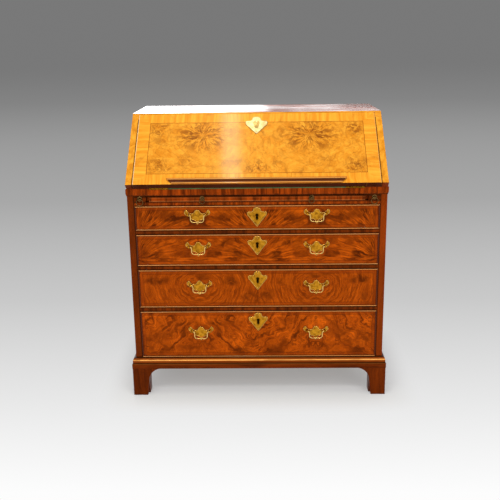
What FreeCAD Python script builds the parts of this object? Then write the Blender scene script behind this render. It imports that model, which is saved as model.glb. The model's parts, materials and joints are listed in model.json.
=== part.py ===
import FreeCAD, Part
import math
import os
import re

import Sketcher

# Fall-front writing bureau on bracket feet: a chest of four long drawers, lopers and a brushing slide
# under a writing bed, and a sloping fall over a nest of pigeonholes. Millimetres, +Z up, front towards -Y.
# Lengths below are measured from the front of the carcase; each piece is then set back so that the
# origin lies under the middle of the bureau.

SIZES = {
    # Carcase
    "width": 900.0,
    "depth": 500.0,
    "desk_height": 238.5,
    "side_thickness": 24.0,
    "top_thickness": 20.0,
    "bottom_thickness": 20.0,
    "back_thickness": 14.0,
    "back_board_count": 4,
    "back_board_gap": 0.6,
    # Base moulding and bracket feet
    "foot_height": 106.0,
    "base_moulding_height": 41.0,
    "base_projection": 14.0,
    "base_fillet_height": 17.0,
    "base_fillet_step": 3.0,
    "base_ledge": 4.0,
    "foot_inset": 1.0,
    "foot_toe": 52.0,
    "foot_ankle": 59.0,
    "arch_radius": 48.0,
    "bracket_thickness": 20.0,
    "rear_bracket_length": 105.0,
    "glue_block": 38.0,
    # Long drawers, from the top one down
    "drawer_1_height": 86.0,
    "drawer_2_height": 113.0,
    "drawer_3_height": 140.0,
    "drawer_4_height": 177.0,
    "drawer_back_gap": 12.0,
    "drawer_front_thickness": 20.0,
    "drawer_side_thickness": 10.0,
    "drawer_bottom_thickness": 8.0,
    "drawer_bottom_lift": 7.0,
    "drawer_rim_drop": 9.0,
    "drawer_side_clearance": 0.8,
    "runner_clearance": 0.3,
    "head_clearance": 1.0,
    "bead_thickness": 3.5,
    "bead_projection": 2.0,
    "rail_thickness": 15.7,
    "rail_depth": 70.0,
    "runner_width": 40.0,
    "stop_length": 36.0,
    "stop_width": 22.0,
    "stop_height": 5.0,
    "stop_clearance": 0.3,
    "stop_inset": 176.0,
    # Batwing handles
    "handle_inset": 217.2,
    "handle_rise": 13.0,
    "plate_width": 86.0,
    "plate_rise": 17.0,
    "plate_drop": 36.0,
    "plate_thickness": 1.6,
    "post_spacing": 65.0,
    "post_radius": 2.6,
    "post_reach": 10.0,
    "post_ball_radius": 4.5,
    "post_collar_radius": 4.4,
    "post_collar_height": 2.0,
    "post_hole_clearance": 0.1,
    "nut_radius": 5.5,
    "nut_height": 4.0,
    "post_tail": 2.0,
    "bail_radius": 1.8,
    "bail_running_clearance": 0.06,
    "bail_shoulder": 1.0,
    "bail_bend": 4.0,
    "bail_corner": 10.0,
    "bail_drop": 26.0,
    # Drawer escutcheons and locks
    "escutcheon_width": 67.0,
    "escutcheon_rise": 27.0,
    "escutcheon_drop": 41.0,
    "key_depth": 34.0,
    "key_radius": 4.0,
    "key_slot": 14.0,
    "key_foot": 6.4,
    "key_clearance": 1.0,
    "lock_width": 62.0,
    "lock_rise": 20.0,
    "lock_drop": 24.0,
    "lock_thickness": 9.0,
    # Loper shelf, lopers and brushing slide
    "shelf_thickness": 13.0,
    "loper_space": 22.7,
    "loper_width": 40.0,
    "loper_height": 22.0,
    "loper_back_gap": 66.0,
    "loper_side_clearance": 0.5,
    "partition_thickness": 11.0,
    "partition_setback": 14.0,
    "slide_thickness": 19.0,
    "slide_back_gap": 166.0,
    "slide_side_clearance": 0.5,
    "slide_front_depth": 40.0,
    "slide_pull_inset": 185.0,
    "pull_height": 12.5,
    "rosette_radius": 8.5,
    "rosette_thickness": 2.0,
    "pull_reach": 7.0,
    "pull_stem_radius": 2.0,
    "pull_stem_length": 14.0,
    "pull_ball_radius": 4.0,
    "ring_wire_radius": 1.3,
    "ring_eye_clearance": 1.2,
    "loper_ring_radius": 11.5,
    "slide_ring_radius": 9.0,
    # Writing bed and waist moulding
    "band_projection": 3.5,
    "band_toe": 1.0,
    "band_rise": 9.0,
    "lining_hinge_gap": 1.0,
    "lining_thickness": 1.5,
    "bed_lining_gap": 15.0,
    # Fall
    "fall_thickness": 26.0,
    "fall_angle": 44.7,
    "fall_side_gap": 0.7,
    "fall_foot_gap": 0.5,
    "fall_head_gap": 0.6,
    "top_edge": 6.0,
    "lip_length": 9.0,
    "lip_thickness": 13.0,
    "clamp_width": 50.0,
    "fall_lining_margin": 80.8,
    "rest_inset": 117.3,
    "rest_end_slant": 18.0,
    "rest_low": 2.0,
    "rest_height": 18.0,
    "rest_projection": 10.0,
    "rest_fillet": 3.0,
    "rest_fillet_height": 4.0,
    "rest_top_height": 5.0,
    "rest_quirk": 2.0,
    "fall_lock_width": 74.0,
    "fall_lock_length": 56.0,
    "fall_lock_thickness": 11.0,
    "fall_plate_width": 75.0,
    "fall_plate_rise": 34.0,
    "fall_plate_drop": 40.0,
    "fall_key_depth": 52.0,
    "cover_width": 21.0,
    "cover_rise": 4.0,
    "cover_drop": 27.0,
    "cover_thickness": 1.4,
    "cover_gap": 0.2,
    "cover_pivot_rise": 11.0,
    "cover_pin_radius": 1.4,
    "cover_pin_clearance": 0.06,
    "cover_pin_head_radius": 2.6,
    "cover_pin_head": 1.2,
    # Fall hinges
    "hinge_clamp_gap": 5.3,
    "hinge_length": 64.0,
    "hinge_centre_length": 26.0,
    "hinge_leaf_width": 26.0,
    "hinge_leaf_thickness": 2.0,
    "knuckle_radius": 3.0,
    "knuckle_clearance": 0.4,
    "knuckle_end_gap": 0.3,
    "hinge_pin_radius": 1.2,
    "hinge_pin_clearance": 0.05,
    # Pigeonhole nest and small drawers
    "nest_front_gap": 22.7,
    "nest_base_thickness": 6.0,
    "nest_shelf_thickness": 8.0,
    "nest_divider_thickness": 6.0,
    "nest_upright_thickness": 8.0,
    "pigeonhole_count": 8,
    "small_drawer_count": 4,
    "small_drawer_height": 60.0,
    "small_drawer_back_gap": 10.0,
    "small_front_thickness": 12.0,
    "small_side_thickness": 6.0,
    "small_bottom_thickness": 5.0,
    "small_rim_drop": 6.0,
    "small_side_clearance": 0.6,
    "small_knob_radius": 7.0,
    "small_knob_reach": 12.0,
    "small_stem_radius": 4.0,
    "small_stem_length": 8.0,
    "valance_height": 34.0,
    "valance_thickness": 6.0,
    "valance_setback": 3.0,
    "valance_shoulder": 8.0,
}

# Cutting tools run past the faces that they cut by this much
OVERRUN = 1
# Radius over chord of a quarter circle, and of the flatter curves of mouldings and plates
QUARTER = math.sqrt(0.5)
ROUND = 0.56
BOWED = 0.85
SHALLOW = 1.3

DOC = FreeCAD.newDocument("WritingBureau")
SHEET = DOC.addObject("Spreadsheet::Sheet", "Sizes")
WORD = re.compile(r"[A-Za-z_][A-Za-z_0-9]*")
TURN_TO = {
    "x": FreeCAD.Rotation(FreeCAD.Vector(0, 1, 0), 90),
    "y": FreeCAD.Rotation(FreeCAD.Vector(1, 0, 0), -90),
    "z": FreeCAD.Rotation(),
}
NODES = []


def fill_sheet():
    """Write every driving size into its own named cell."""
    for row, (name, size) in enumerate(SIZES.items(), start=1):
        SHEET.set(f"A{row}", name)
        SHEET.set(f"B{row}", str(size))
        SHEET.setAlias(f"B{row}", name)
    DOC.recompute()


def ex(text):
    """Point every size name in an expression at its cell."""
    def cell(found):
        word = found.group()
        return f"Sizes.{word}" if word in SIZES else word
    return WORD.sub(cell, str(text))


def value(text):
    """The present number behind an expression."""
    return float(SHEET.evalExpression(ex(text)))


def count(name):
    return int(value(name))


def bind(item, **links):
    """Bind properties of an object to expressions."""
    for name, text in links.items():
        item.setExpression(name, ex(text))
    return item


def place(item, x=None, y=None, z=None):
    """Bind an object's place to expressions."""
    for axis, text in (("x", x), ("y", y), ("z", z)):
        if text is not None:
            item.setExpression(f"Placement.Base.{axis}", ex(text))
    return item


def slab(name, x, y, z):
    """A rectangular board between low and high planes in X, Y and Z."""
    item = DOC.addObject("Part::Box", name)
    bind(item, Length=f"({x[1]}) - ({x[0]})", Width=f"({y[1]}) - ({y[0]})", Height=f"({z[1]}) - ({z[0]})")
    return place(item, x[0], y[0], z[0])


def rod(name, axis, start, radius, length):
    """A round bar that runs from its start point along one axis."""
    item = DOC.addObject("Part::Cylinder", name)
    item.Placement = FreeCAD.Placement(FreeCAD.Vector(), TURN_TO[axis])
    bind(item, Radius=radius, Height=length)
    return place(item, *start)


def ball(name, centre, radius):
    item = DOC.addObject("Part::Sphere", name)
    bind(item, Radius=radius)
    return place(item, *centre)


def fuse(name, *solids):
    item = DOC.addObject("Part::MultiFuse", name)
    item.Shapes = list(solids)
    return item


def cut(name, base, *tools):
    """What is left of a piece after its tools."""
    item = DOC.addObject("Part::Cut", name)
    item.Base = base
    item.Tool = tools[0] if len(tools) == 1 else fuse(f"{name}_tools", *tools)
    return item


def mitred(name, run, plan):
    """A length of moulding kept to its plan, which gives it mitred ends."""
    item = DOC.addObject("Part::Common", name)
    item.Base = run
    item.Tool = plan
    return item


def chord(start, end):
    return f"sqrt((({end[0]}) - ({start[0]}))^2 + (({end[1]}) - ({start[1]}))^2)"


def sketch_on(body, name, plane):
    """A sketch on one of its own body's origin planes."""
    sketch = body.newObject("Sketcher::SketchObject", name)
    support = next(item for item in body.Origin.OriginFeatures if item.Role == plane)
    sketch.AttachmentSupport = [(support, "")]
    sketch.MapMode = "FlatFace"
    return sketch


def add_edge(sketch, start, end, bend):
    """Draw one edge; give its index and the positions of its two ends."""
    a = FreeCAD.Vector(value(start[0]), value(start[1]), 0)
    b = FreeCAD.Vector(value(end[0]), value(end[1]), 0)
    if not bend:
        return sketch.addGeometry(Part.LineSegment(a, b)), 1, 2
    ratio, turn = bend
    side = 1 if turn == "left" else -1
    length = (b - a).Length
    left = FreeCAD.Vector(a.y - b.y, b.x - a.x, 0) / length
    centre = (a + b) / 2 + left * side * length * math.sqrt(ratio ** 2 - 0.25)
    first, last = (a, b) if side > 0 else (b, a)
    begin = math.atan2(first.y - centre.y, first.x - centre.x)
    finish = math.atan2(last.y - centre.y, last.x - centre.x)
    if finish < begin:
        finish += 2 * math.pi
    circle = Part.Circle(centre, FreeCAD.Vector(0, 0, 1), ratio * length)
    index = sketch.addGeometry(Part.ArcOfCircle(circle, begin, finish))
    return (index, 1, 2) if side > 0 else (index, 2, 1)


def pin_point(sketch, index, position, point):
    """Hold one end of an edge at bound distances from the sketch's origin."""
    for kind, text in zip(("DistanceX", "DistanceY"), point):
        number = sketch.addConstraint(Sketcher.Constraint(kind, -1, 1, index, position, value(text)))
        sketch.setExpression(f"Constraints[{number}]", ex(text))


def draw(sketch, outline, closed=True):
    """Draw an outline. A vertex is (a, b) or (a, b, radius over chord, turn) for an arc to the next one."""
    ends = outline[1:] + outline[:1] if closed else outline[1:]
    edges = []
    for start, end in zip(outline, ends):
        edges.append(add_edge(sketch, start, end, start[2:]))
    for (index, first, last), start, end in zip(edges, outline, ends):
        pin_point(sketch, index, first, start[:2])
        if start[2:]:
            radius = f"{start[2]} * {chord(start, end)}"
            number = sketch.addConstraint(Sketcher.Constraint("Radius", index, value(radius)))
            sketch.setExpression(f"Constraints[{number}]", ex(radius))
    for here, there in zip(edges, edges[1:] + edges[:1] if closed else edges[1:]):
        sketch.addConstraint(Sketcher.Constraint("Coincident", here[0], here[2], there[0], there[1]))
    if not closed:
        pin_point(sketch, edges[-1][0], edges[-1][2], outline[-1][:2])


def profile(name, plane, outlines, low, high):
    """A body padded from closed outlines between two planes; later outlines are holes."""
    body = DOC.addObject("PartDesign::Body", name)
    sketch = sketch_on(body, f"{name}_outline", f"{plane}_Plane")
    for outline in outlines:
        draw(sketch, outline)
    bind(sketch, **{"AttachmentOffset.Base.z": f"-({high})" if plane == "XZ" else low})
    pad = body.newObject("PartDesign::Pad", f"{name}_pad")
    pad.Profile = sketch
    bind(pad, Length=f"({high}) - ({low})")
    return body


def bent_rod(name, path, radius):
    """A round wire along an open path in the XZ plane, which starts along X."""
    body = DOC.addObject("PartDesign::Body", name)
    spine = sketch_on(body, f"{name}_path", "XZ_Plane")
    draw(spine, path, closed=False)
    section = sketch_on(body, f"{name}_section", "YZ_Plane")
    bind(section, **{"AttachmentOffset.Base.z": path[0][0]})
    circle = section.addGeometry(Part.Circle(FreeCAD.Vector(), FreeCAD.Vector(0, 0, 1), value(radius)))
    section.addConstraint(Sketcher.Constraint("Coincident", circle, 3, -1, 1))
    number = section.addConstraint(Sketcher.Constraint("Radius", circle, value(radius)))
    section.setExpression(f"Constraints[{number}]", ex(radius))
    pipe = body.newObject("PartDesign::AdditivePipe", f"{name}_pipe")
    pipe.Profile = section
    pipe.Spine = (spine, [])
    return body


def symmetric(half):
    """Both halves of an outline from its right half, which runs from the top centre to the bottom one."""
    last = len(half) - 1
    right = [half[i] for i in range(last)]
    left = [(f"-({half[i][0]})", half[i][1], *half[i - 1][2:]) for i in range(last, 0, -1)]
    return right + left


def node(label, *solids):
    """A named sub-part of one or more separate solids, set back from the origin."""
    item = DOC.addObject("Part::Compound", label)
    item.Links = list(solids)
    item.Label = label
    place(item, y=FRONT)
    NODES.append((item, len(solids)))
    return item


def fall_node(label, *solids):
    """A sub-part of the closed fall: X along the hinge, Y up the slope and Z out of its face."""
    item = node(label, *solids)
    item.Placement = FreeCAD.Placement(FreeCAD.Vector(), FreeCAD.Rotation(FreeCAD.Vector(1, 0, 0), 1))
    bind(item, **{"Placement.Rotation.Angle": "fall_angle"})
    return place(item, y=f"{FRONT} + {HINGE_Y}", z=BED_TOP)


# Shared planes and levels, each worked out from the sizes
HALF = "(width / 2)"
INNER = "(width / 2 - side_thickness)"
BACK = "(depth - back_thickness)"
BASE_TOP = "(foot_height + base_moulding_height)"
CASE_LOW = f"({BASE_TOP} - bottom_thickness)"
ACROSS = (f"-{INNER}", INNER)
# One long drawer for each height in the sizes, counted from the top
LONG_DRAWERS = sorted(map(int, re.findall(r"\bdrawer_(\d+)_height", " ".join(SIZES))))


def drawer_levels():
    """The floor of each long drawer and the underside of what lies above it, from the bottom up."""
    floors = {}
    heads = {}
    level = BASE_TOP
    for number in reversed(LONG_DRAWERS):
        floors[number] = f"({level} + runner_clearance)"
        heads[number] = f"({floors[number]} + drawer_{number}_height + head_clearance)"
        level = f"({heads[number]} + rail_thickness)"
    return floors, heads


FLOORS, HEADS = drawer_levels()
SHELF_LOW = HEADS[1]
SHELF_TOP = f"({SHELF_LOW} + shelf_thickness)"
BED_LOW = f"({SHELF_TOP} + loper_space)"
BED_TOP = f"({BED_LOW} + fall_thickness)"
HEIGHT = f"({BED_TOP} + desk_height)"
TOP_LOW = f"({HEIGHT} - top_thickness)"
SIN = "sin(fall_angle * 1 deg)"
COS = "cos(fall_angle * 1 deg)"
HINGE_Y = "(-band_projection)"
NOSE_Y = f"({HINGE_Y} - fall_thickness * {SIN})"
NOSE_Z = f"({BED_TOP} + fall_thickness * {COS})"
FALL_END = f"(({HEIGHT} - {NOSE_Z}) / {SIN} - top_edge)"
FALL_HALF = f"({INNER} - fall_side_gap)"
HINGE_OFFSET = f"({FALL_HALF} - clamp_width - hinge_clamp_gap - hinge_length / 2)"
LINING_HALF = f"({HINGE_OFFSET} - hinge_length / 2 - lining_hinge_gap)"
LINING_ACROSS = (f"-{LINING_HALF}", LINING_HALF)
FALL_KEY = f"({FALL_END} - fall_key_depth)"
# The bureau reaches furthest forward at the lower fillet of the book rest
REACH = f"(band_projection + (fall_thickness + rest_fillet) * {SIN} - rest_low * {COS})"
FRONT = f"(({REACH} - depth) / 2)"
LOPER_INNER = f"({INNER} - loper_width - 2 * loper_side_clearance)"
SLIDE_HALF = f"({LOPER_INNER} - partition_thickness)"
DRAWER_HALF = f"({INNER} - drawer_side_clearance)"
DRAWER_END = f"({BACK} - drawer_back_gap)"
HANDLE_OFFSET = f"({DRAWER_HALF} - handle_inset)"
# The nest stands clear behind the fall, whose inner face reaches furthest back under the top
NEST_FRONT = f"({HINGE_Y} + ({TOP_LOW} - {BED_TOP}) * {COS} / {SIN} + nest_front_gap)"
NEST_BASE_TOP = f"({BED_TOP} + nest_base_thickness)"
SMALL_FLOOR = f"({NEST_BASE_TOP} + runner_clearance)"
NEST_SHELF_LOW = f"({SMALL_FLOOR} + small_drawer_height + head_clearance)"
NEST_SHELF_TOP = f"({NEST_SHELF_LOW} + nest_shelf_thickness)"


def slope_y(level):
    """Where the sloping face of the desk lies at a level."""
    return f"({NOSE_Y} + ({level} - {NOSE_Z}) * {COS} / {SIN})"


def carcase_sides():
    outline = [
        (0, CASE_LOW),
        ("depth", CASE_LOW),
        ("depth", TOP_LOW),
        (slope_y(TOP_LOW), TOP_LOW),
        (NOSE_Y, NOSE_Z),
        (HINGE_Y, BED_TOP),
        (0, BED_TOP),
    ]
    for side, low, high in (("left", f"-{HALF}", f"-{INNER}"), ("right", INNER, HALF)):
        node(f"side_{side}", profile(f"side_board_{side}", "YZ", [outline], low, high))


def top_board():
    """The top, with its front edge in the slope and a rebate that stops the lip of the fall."""
    outline = [
        (slope_y(TOP_LOW), TOP_LOW),
        ("depth", TOP_LOW),
        ("depth", HEIGHT),
        (slope_y(HEIGHT), HEIGHT),
    ]
    board = profile("top_plank", "YZ", [outline], f"-{HALF}", HALF)
    rebate = DOC.addObject("Part::Box", "top_rebate")
    rebate.Placement = FreeCAD.Placement(FreeCAD.Vector(), FreeCAD.Rotation(FreeCAD.Vector(1, 0, 0), 1))
    stop = "(lip_thickness - fall_head_gap)"
    bind(rebate, Length=f"2 * {INNER}", Width=f"{FALL_END} + fall_head_gap", Height="2 * fall_thickness")
    bind(rebate, **{"Placement.Rotation.Angle": "fall_angle"})
    place(rebate, f"-{INNER}", f"{HINGE_Y} - {stop} * {SIN}", f"{BED_TOP} + {stop} * {COS}")
    node("top_board", cut("top_rebated", board, rebate))


def back_boards():
    boards = count("back_board_count")
    pitch = f"(({TOP_LOW} - {CASE_LOW}) / back_board_count)"
    solids = []
    for i in range(boards):
        low = f"({CASE_LOW} + {i} * {pitch})"
        high = f"{low} + {pitch} - back_board_gap" if i + 1 < boards else TOP_LOW
        solids.append(slab(f"back_plank_{i + 1}", ACROSS, (BACK, "depth"), (low, high)))
    node("back_boards", *solids)


def bottom_board():
    node("bottom_board", slab("bottom_plank", ACROSS, (0, BACK), (CASE_LOW, BASE_TOP)))


def drawer_rails():
    """The rails above the three lower drawers, the runners behind them and the drawer stops."""
    rails = []
    runners = []
    for number in LONG_DRAWERS[1:]:
        level = (HEADS[number], f"{HEADS[number]} + rail_thickness")
        rails.append(slab(f"rail_{number}", ACROSS, (0, "rail_depth"), level))
        left = (f"-{INNER}", f"-{INNER} + runner_width")
        right = (f"{INNER} - runner_width", INNER)
        runners.append(slab(f"runner_{number}_left", left, ("rail_depth", BACK), level))
        runners.append(slab(f"runner_{number}_right", right, ("rail_depth", BACK), level))
    for number in LONG_DRAWERS:
        low = f"({FLOORS[number]} - runner_clearance)"
        front = "(drawer_front_thickness + stop_clearance)"
        for side in (-1, 1):
            middle = f"({side} * ({INNER} - stop_inset))"
            runners.append(slab(
                f"stop_{number}_{'left' if side < 0 else 'right'}",
                (f"{middle} - stop_length / 2", f"{middle} + stop_length / 2"),
                (front, f"{front} + stop_width"),
                (low, f"{low} + stop_height"),
            ))
    node("drawer_rails", *rails)
    node("drawer_runners", *runners)


def moulding(name, section, projection, low, high):
    """A moulding round the front and both sides, mitred at the front corners.

    The section gives (distance out from the carcase, level, and any bend to the next point)."""
    reach = f"({projection} + {OVERRUN})"
    front = [(f"-({out})", level, *bend) for out, level, *bend in section]
    corner = f"({HALF} + {projection})"
    plan = [
        (f"-{corner}", f"-({projection})"),
        (corner, f"-({projection})"),
        (HALF, 0),
        (f"-{HALF}", 0),
    ]
    pieces = {"front": mitred(
        f"{name}_front",
        profile(f"{name}_front_run", "YZ", [front], f"-({HALF} + {reach})", f"{HALF} + {reach}"),
        profile(f"{name}_front_plan", "XY", [plan], low, high),
    )}
    for side, sign in (("left", -1), ("right", 1)):
        run = []
        for out, level, *bend in section:
            if bend and sign > 0:
                bend = (bend[0], "right" if bend[1] == "left" else "left")
            run.append((f"{sign} * ({HALF} + {out})", level, *bend))
        plan = [
            (f"{sign} * {corner}", f"-({projection})"),
            (f"{sign} * {HALF}", 0),
            (f"{sign} * {HALF}", "depth"),
            (f"{sign} * {corner}", "depth"),
        ]
        pieces[side] = mitred(
            f"{name}_{side}",
            profile(f"{name}_{side}_run", "XZ", [run], f"-{reach}", "depth"),
            profile(f"{name}_{side}_plan", "XY", [plan], low, high),
        )
    return pieces


def base_moulding():
    """A plain lower fillet under an ovolo that runs back to the carcase."""
    shoulder = "(base_projection - base_fillet_step)"
    fillet_top = "(foot_height + base_fillet_height)"
    section = [
        (0, "foot_height"),
        ("base_projection", "foot_height"),
        ("base_projection", fillet_top),
        (shoulder, f"{fillet_top} + base_fillet_step"),
        (shoulder, f"{fillet_top} + 2 * base_fillet_step", BOWED, "right"),
        ("base_ledge", BASE_TOP),
        (0, BASE_TOP),
    ]
    pieces = moulding("base", section, "base_projection", "foot_height", BASE_TOP)
    node("base_moulding", *pieces.values())


def bracket(name, plane, corner, sign, low, high):
    """One shaped bracket of a foot, which runs from its corner along sign."""
    def at(distance):
        return f"({corner} + {sign} * ({distance}))"
    outline = [
        (at(0), 0),
        (at("foot_toe"), 0),
        (at("foot_ankle"), "foot_height - arch_radius", QUARTER, "right" if sign > 0 else "left"),
        (at("foot_ankle + arch_radius"), "foot_height"),
        (at(0), "foot_height"),
    ]
    return profile(name, plane, [outline], low, high)


def foot_plan(name, points):
    return profile(name, "XY", [points], 0, "foot_height")


def feet():
    """Four bracket feet: mitred brackets in front, a plain board behind, and a glue block in each."""
    out = "(base_projection - foot_inset)"
    reach = "(foot_ankle + arch_radius)"
    for side, sign in (("left", -1), ("right", 1)):
        corner = f"({sign} * ({HALF} + {out}))"
        inner = f"({corner} - {sign} * bracket_thickness)"
        across = (corner, inner) if sign < 0 else (inner, corner)
        block_end = f"({inner} - {sign} * glue_block)"
        block = (inner, block_end) if sign < 0 else (block_end, inner)
        toe_end = f"({corner} - {sign} * {reach})"
        front_inner = f"(bracket_thickness - {out})"
        name = f"foot_front_{side}"
        front = mitred(
            f"{name}_face",
            bracket(f"{name}_face_run", "XZ", corner, -sign, f"-{out}", front_inner),
            foot_plan(f"{name}_face_plan", [
                (corner, f"-{out}"), (toe_end, f"-{out}"), (toe_end, front_inner), (inner, front_inner),
            ]),
        )
        flank = mitred(
            f"{name}_flank",
            bracket(f"{name}_flank_run", "YZ", f"-{out}", 1, *across),
            foot_plan(f"{name}_flank_plan", [
                (corner, f"-{out}"), (inner, front_inner), (inner, f"{reach} - {out}"),
                (corner, f"{reach} - {out}"),
            ]),
        )
        post = slab(f"{name}_block", block, (front_inner, f"{front_inner} + glue_block"), (0, CASE_LOW))
        node(name, front, flank, post)
        name = f"foot_rear_{side}"
        flank = bracket(f"{name}_flank", "YZ", "depth", -1, *across)
        rear_end = f"({corner} - {sign} * rear_bracket_length)"
        rear_across = (inner, rear_end) if sign < 0 else (rear_end, inner)
        rear_front = "(depth - bracket_thickness)"
        board = slab(f"{name}_board", rear_across, (rear_front, "depth"), (0, "foot_height"))
        post = slab(f"{name}_block", block, (f"{rear_front} - glue_block", rear_front), (0, CASE_LOW))
        node(name, flank, board, post)


def loper_shelf():
    """The full-width shelf under the lopers and the slide, with a partition on each side of the slide."""
    level = (SHELF_TOP, BED_LOW)
    length = ("partition_setback", BACK)
    node(
        "loper_shelf",
        slab("loper_shelf_board", ACROSS, (0, BACK), (SHELF_LOW, SHELF_TOP)),
        slab("partition_left", (f"-{LOPER_INNER}", f"-{SLIDE_HALF}"), length, level),
        slab("partition_right", (SLIDE_HALF, LOPER_INNER), length, level),
    )


def hinge_span(side):
    middle = f"({side} * {HINGE_OFFSET})"
    return f"({middle} - hinge_length / 2)", f"({middle} + hinge_length / 2)"


def bed_recesses(name):
    """What the hinges and the lining take out of the bed and its front band."""
    tools = [slab(
        f"{name}_lining_bed",
        LINING_ACROSS,
        (f"{HINGE_Y} - {OVERRUN}", f"{NEST_FRONT} - bed_lining_gap"),
        (f"{BED_TOP} - lining_thickness", f"{BED_TOP} + {OVERRUN}"),
    )]
    for side in (-1, 1):
        low, high = hinge_span(side)
        label = f"{name}_hinge_{'left' if side < 0 else 'right'}"
        tools.append(fuse(
            label,
            slab(
                f"{label}_leaf", (low, high), (HINGE_Y, f"{HINGE_Y} + hinge_leaf_width"),
                (f"{BED_TOP} - hinge_leaf_thickness", f"{BED_TOP} + {OVERRUN}"),
            ),
            rod(
                f"{label}_knuckle", "x", (low, HINGE_Y, BED_TOP),
                "knuckle_radius + knuckle_clearance", "hinge_length",
            ),
        ))
    return tools


def writing_bed():
    board = slab("bed_board", ACROSS, (0, BACK), (BED_LOW, BED_TOP))
    node("writing_bed", cut("bed_recessed", board, *bed_recesses("bed")))
    section = [
        (0, BED_LOW),
        ("band_toe", BED_LOW),
        ("band_projection", f"{BED_LOW} + band_rise"),
        ("band_projection", BED_TOP),
        (0, BED_TOP),
    ]
    pieces = moulding("waist", section, "band_projection", BED_LOW, BED_TOP)
    pieces["front"] = cut("waist_front_recessed", pieces["front"], *bed_recesses("waist"))
    node("waist_moulding", *pieces.values())
    node("bed_lining", slab(
        "bed_leather",
        LINING_ACROSS,
        (HINGE_Y, f"{NEST_FRONT} - bed_lining_gap"),
        (f"{BED_TOP} - lining_thickness", BED_TOP),
    ))


def fall_section():
    """The fall's section: square at its foot, with a lip at its head that closes on the top."""
    shoulder = f"({FALL_END} - lip_length)"
    return [
        ("fall_foot_gap", 0),
        (shoulder, 0),
        (shoulder, "lip_thickness"),
        (FALL_END, "lip_thickness"),
        (FALL_END, "fall_thickness"),
        ("fall_foot_gap", "fall_thickness"),
    ]


def fall_lock_box(name, margin):
    """The lock's place in the inner face of the fall, just under the shoulder of the lip."""
    high = f"({FALL_END} - lip_length)"
    return slab(
        name,
        ("-fall_lock_width / 2", "fall_lock_width / 2"),
        (f"{high} - fall_lock_length", f"{high} + {margin}"),
        (f"-{margin}", "fall_lock_thickness"),
    )


def fall():
    half = f"({FALL_HALF} - clamp_width)"
    board = profile("fall_core", "YZ", [fall_section()], f"-{half}", half)
    tools = [
        slab(
            "fall_lining_bed", LINING_ACROSS,
            (f"-{OVERRUN}", f"{FALL_END} - fall_lining_margin"), (f"-{OVERRUN}", "lining_thickness"),
        ),
        fuse(
            "fall_lock_bed",
            fall_lock_box("fall_lock_recess", OVERRUN),
            rod(
                "fall_key_bore", "z", (0, FALL_KEY, 0),
                "key_radius + key_clearance", f"fall_thickness + {OVERRUN}",
            ),
        ),
    ]
    for side in (-1, 1):
        low, high = hinge_span(side)
        label = f"fall_hinge_{'left' if side < 0 else 'right'}"
        tools.append(fuse(
            label,
            slab(
                f"{label}_leaf", (low, high), (f"-{OVERRUN}", "hinge_leaf_width"),
                (f"-{OVERRUN}", "hinge_leaf_thickness"),
            ),
            rod(f"{label}_knuckle", "x", (low, 0, 0), "knuckle_radius + knuckle_clearance", "hinge_length"),
        ))
    fall_node("fall_panel", cut("fall_core_recessed", board, *tools))
    fall_node(
        "fall_clamps",
        profile("fall_clamp_left", "YZ", [fall_section()], f"-{FALL_HALF}", f"-{half}"),
        profile("fall_clamp_right", "YZ", [fall_section()], half, FALL_HALF),
    )
    fall_node("fall_lining", slab(
        "fall_leather", LINING_ACROSS,
        ("fall_foot_gap", f"{FALL_END} - fall_lining_margin"), (0, "lining_thickness"),
    ))
    fall_node("fall_lock", cut(
        "fall_lock_case",
        fall_lock_box("fall_lock_body", 0),
        rod(
            "fall_lock_key", "z", (0, FALL_KEY, "fall_lock_thickness / 2"),
            "key_radius", "fall_lock_thickness",
        ),
    ))


def book_rest():
    """The moulded ledge near the foot of the fall: fillet, cove and projecting top edge."""
    top = "(rest_low + rest_height)"
    fillet_top = "(rest_low + rest_fillet_height)"
    edge = f"({top} - rest_top_height)"
    face = "fall_thickness"
    half = f"({FALL_HALF} - rest_inset)"
    outline = [
        ("rest_low", face),
        (top, face),
        (top, f"{face} + rest_projection"),
        (edge, f"{face} + rest_projection"),
        (edge, f"{face} + rest_projection - rest_quirk", BOWED, "right"),
        (fillet_top, f"{face} + rest_fillet"),
        ("rest_low", f"{face} + rest_fillet"),
    ]
    foot = f"({half} - rest_end_slant)"
    plan = [
        (half, top),
        (f"-{half}", top),
        (f"-{foot}", "rest_low"),
        (foot, "rest_low"),
    ]
    fall_node("book_rest", mitred(
        "book_rest_moulding",
        profile("book_rest_run", "YZ", [outline], f"-{half}", half),
        profile("book_rest_plan", "XY", [plan], face, f"{face} + rest_projection"),
    ))


def keyhole():
    """A round eye over a spreading slot, centred on the key pin."""
    return [
        (0, "key_radius", QUARTER, "right"),
        ("key_radius", 0, QUARTER, "right"),
        ("key_radius * 0.55", "-key_radius"),
        ("key_foot / 2", "-key_slot"),
        ("-key_foot / 2", "-key_slot"),
        ("-key_radius * 0.55", "-key_radius"),
        ("-key_radius", 0, QUARTER, "right"),
    ]


def kite_outline(width, rise, drop):
    """An escutcheon: a round crest between two ears, with straight sides drawn in to a point below."""
    return symmetric([
        (0, rise, ROUND, "right"),
        (f"0.20 * {width}", f"0.64 * {rise}", BOWED, "left"),
        (f"0.42 * {width}", f"0.50 * {rise}", ROUND, "right"),
        (f"0.50 * {width}", f"0.14 * {rise}", BOWED, "right"),
        (f"0.43 * {width}", f"-0.12 * {drop}"),
        (f"0.05 * {width}", f"-0.94 * {drop}", BOWED, "right"),
        (0, f"-({drop})"),
    ])


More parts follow.
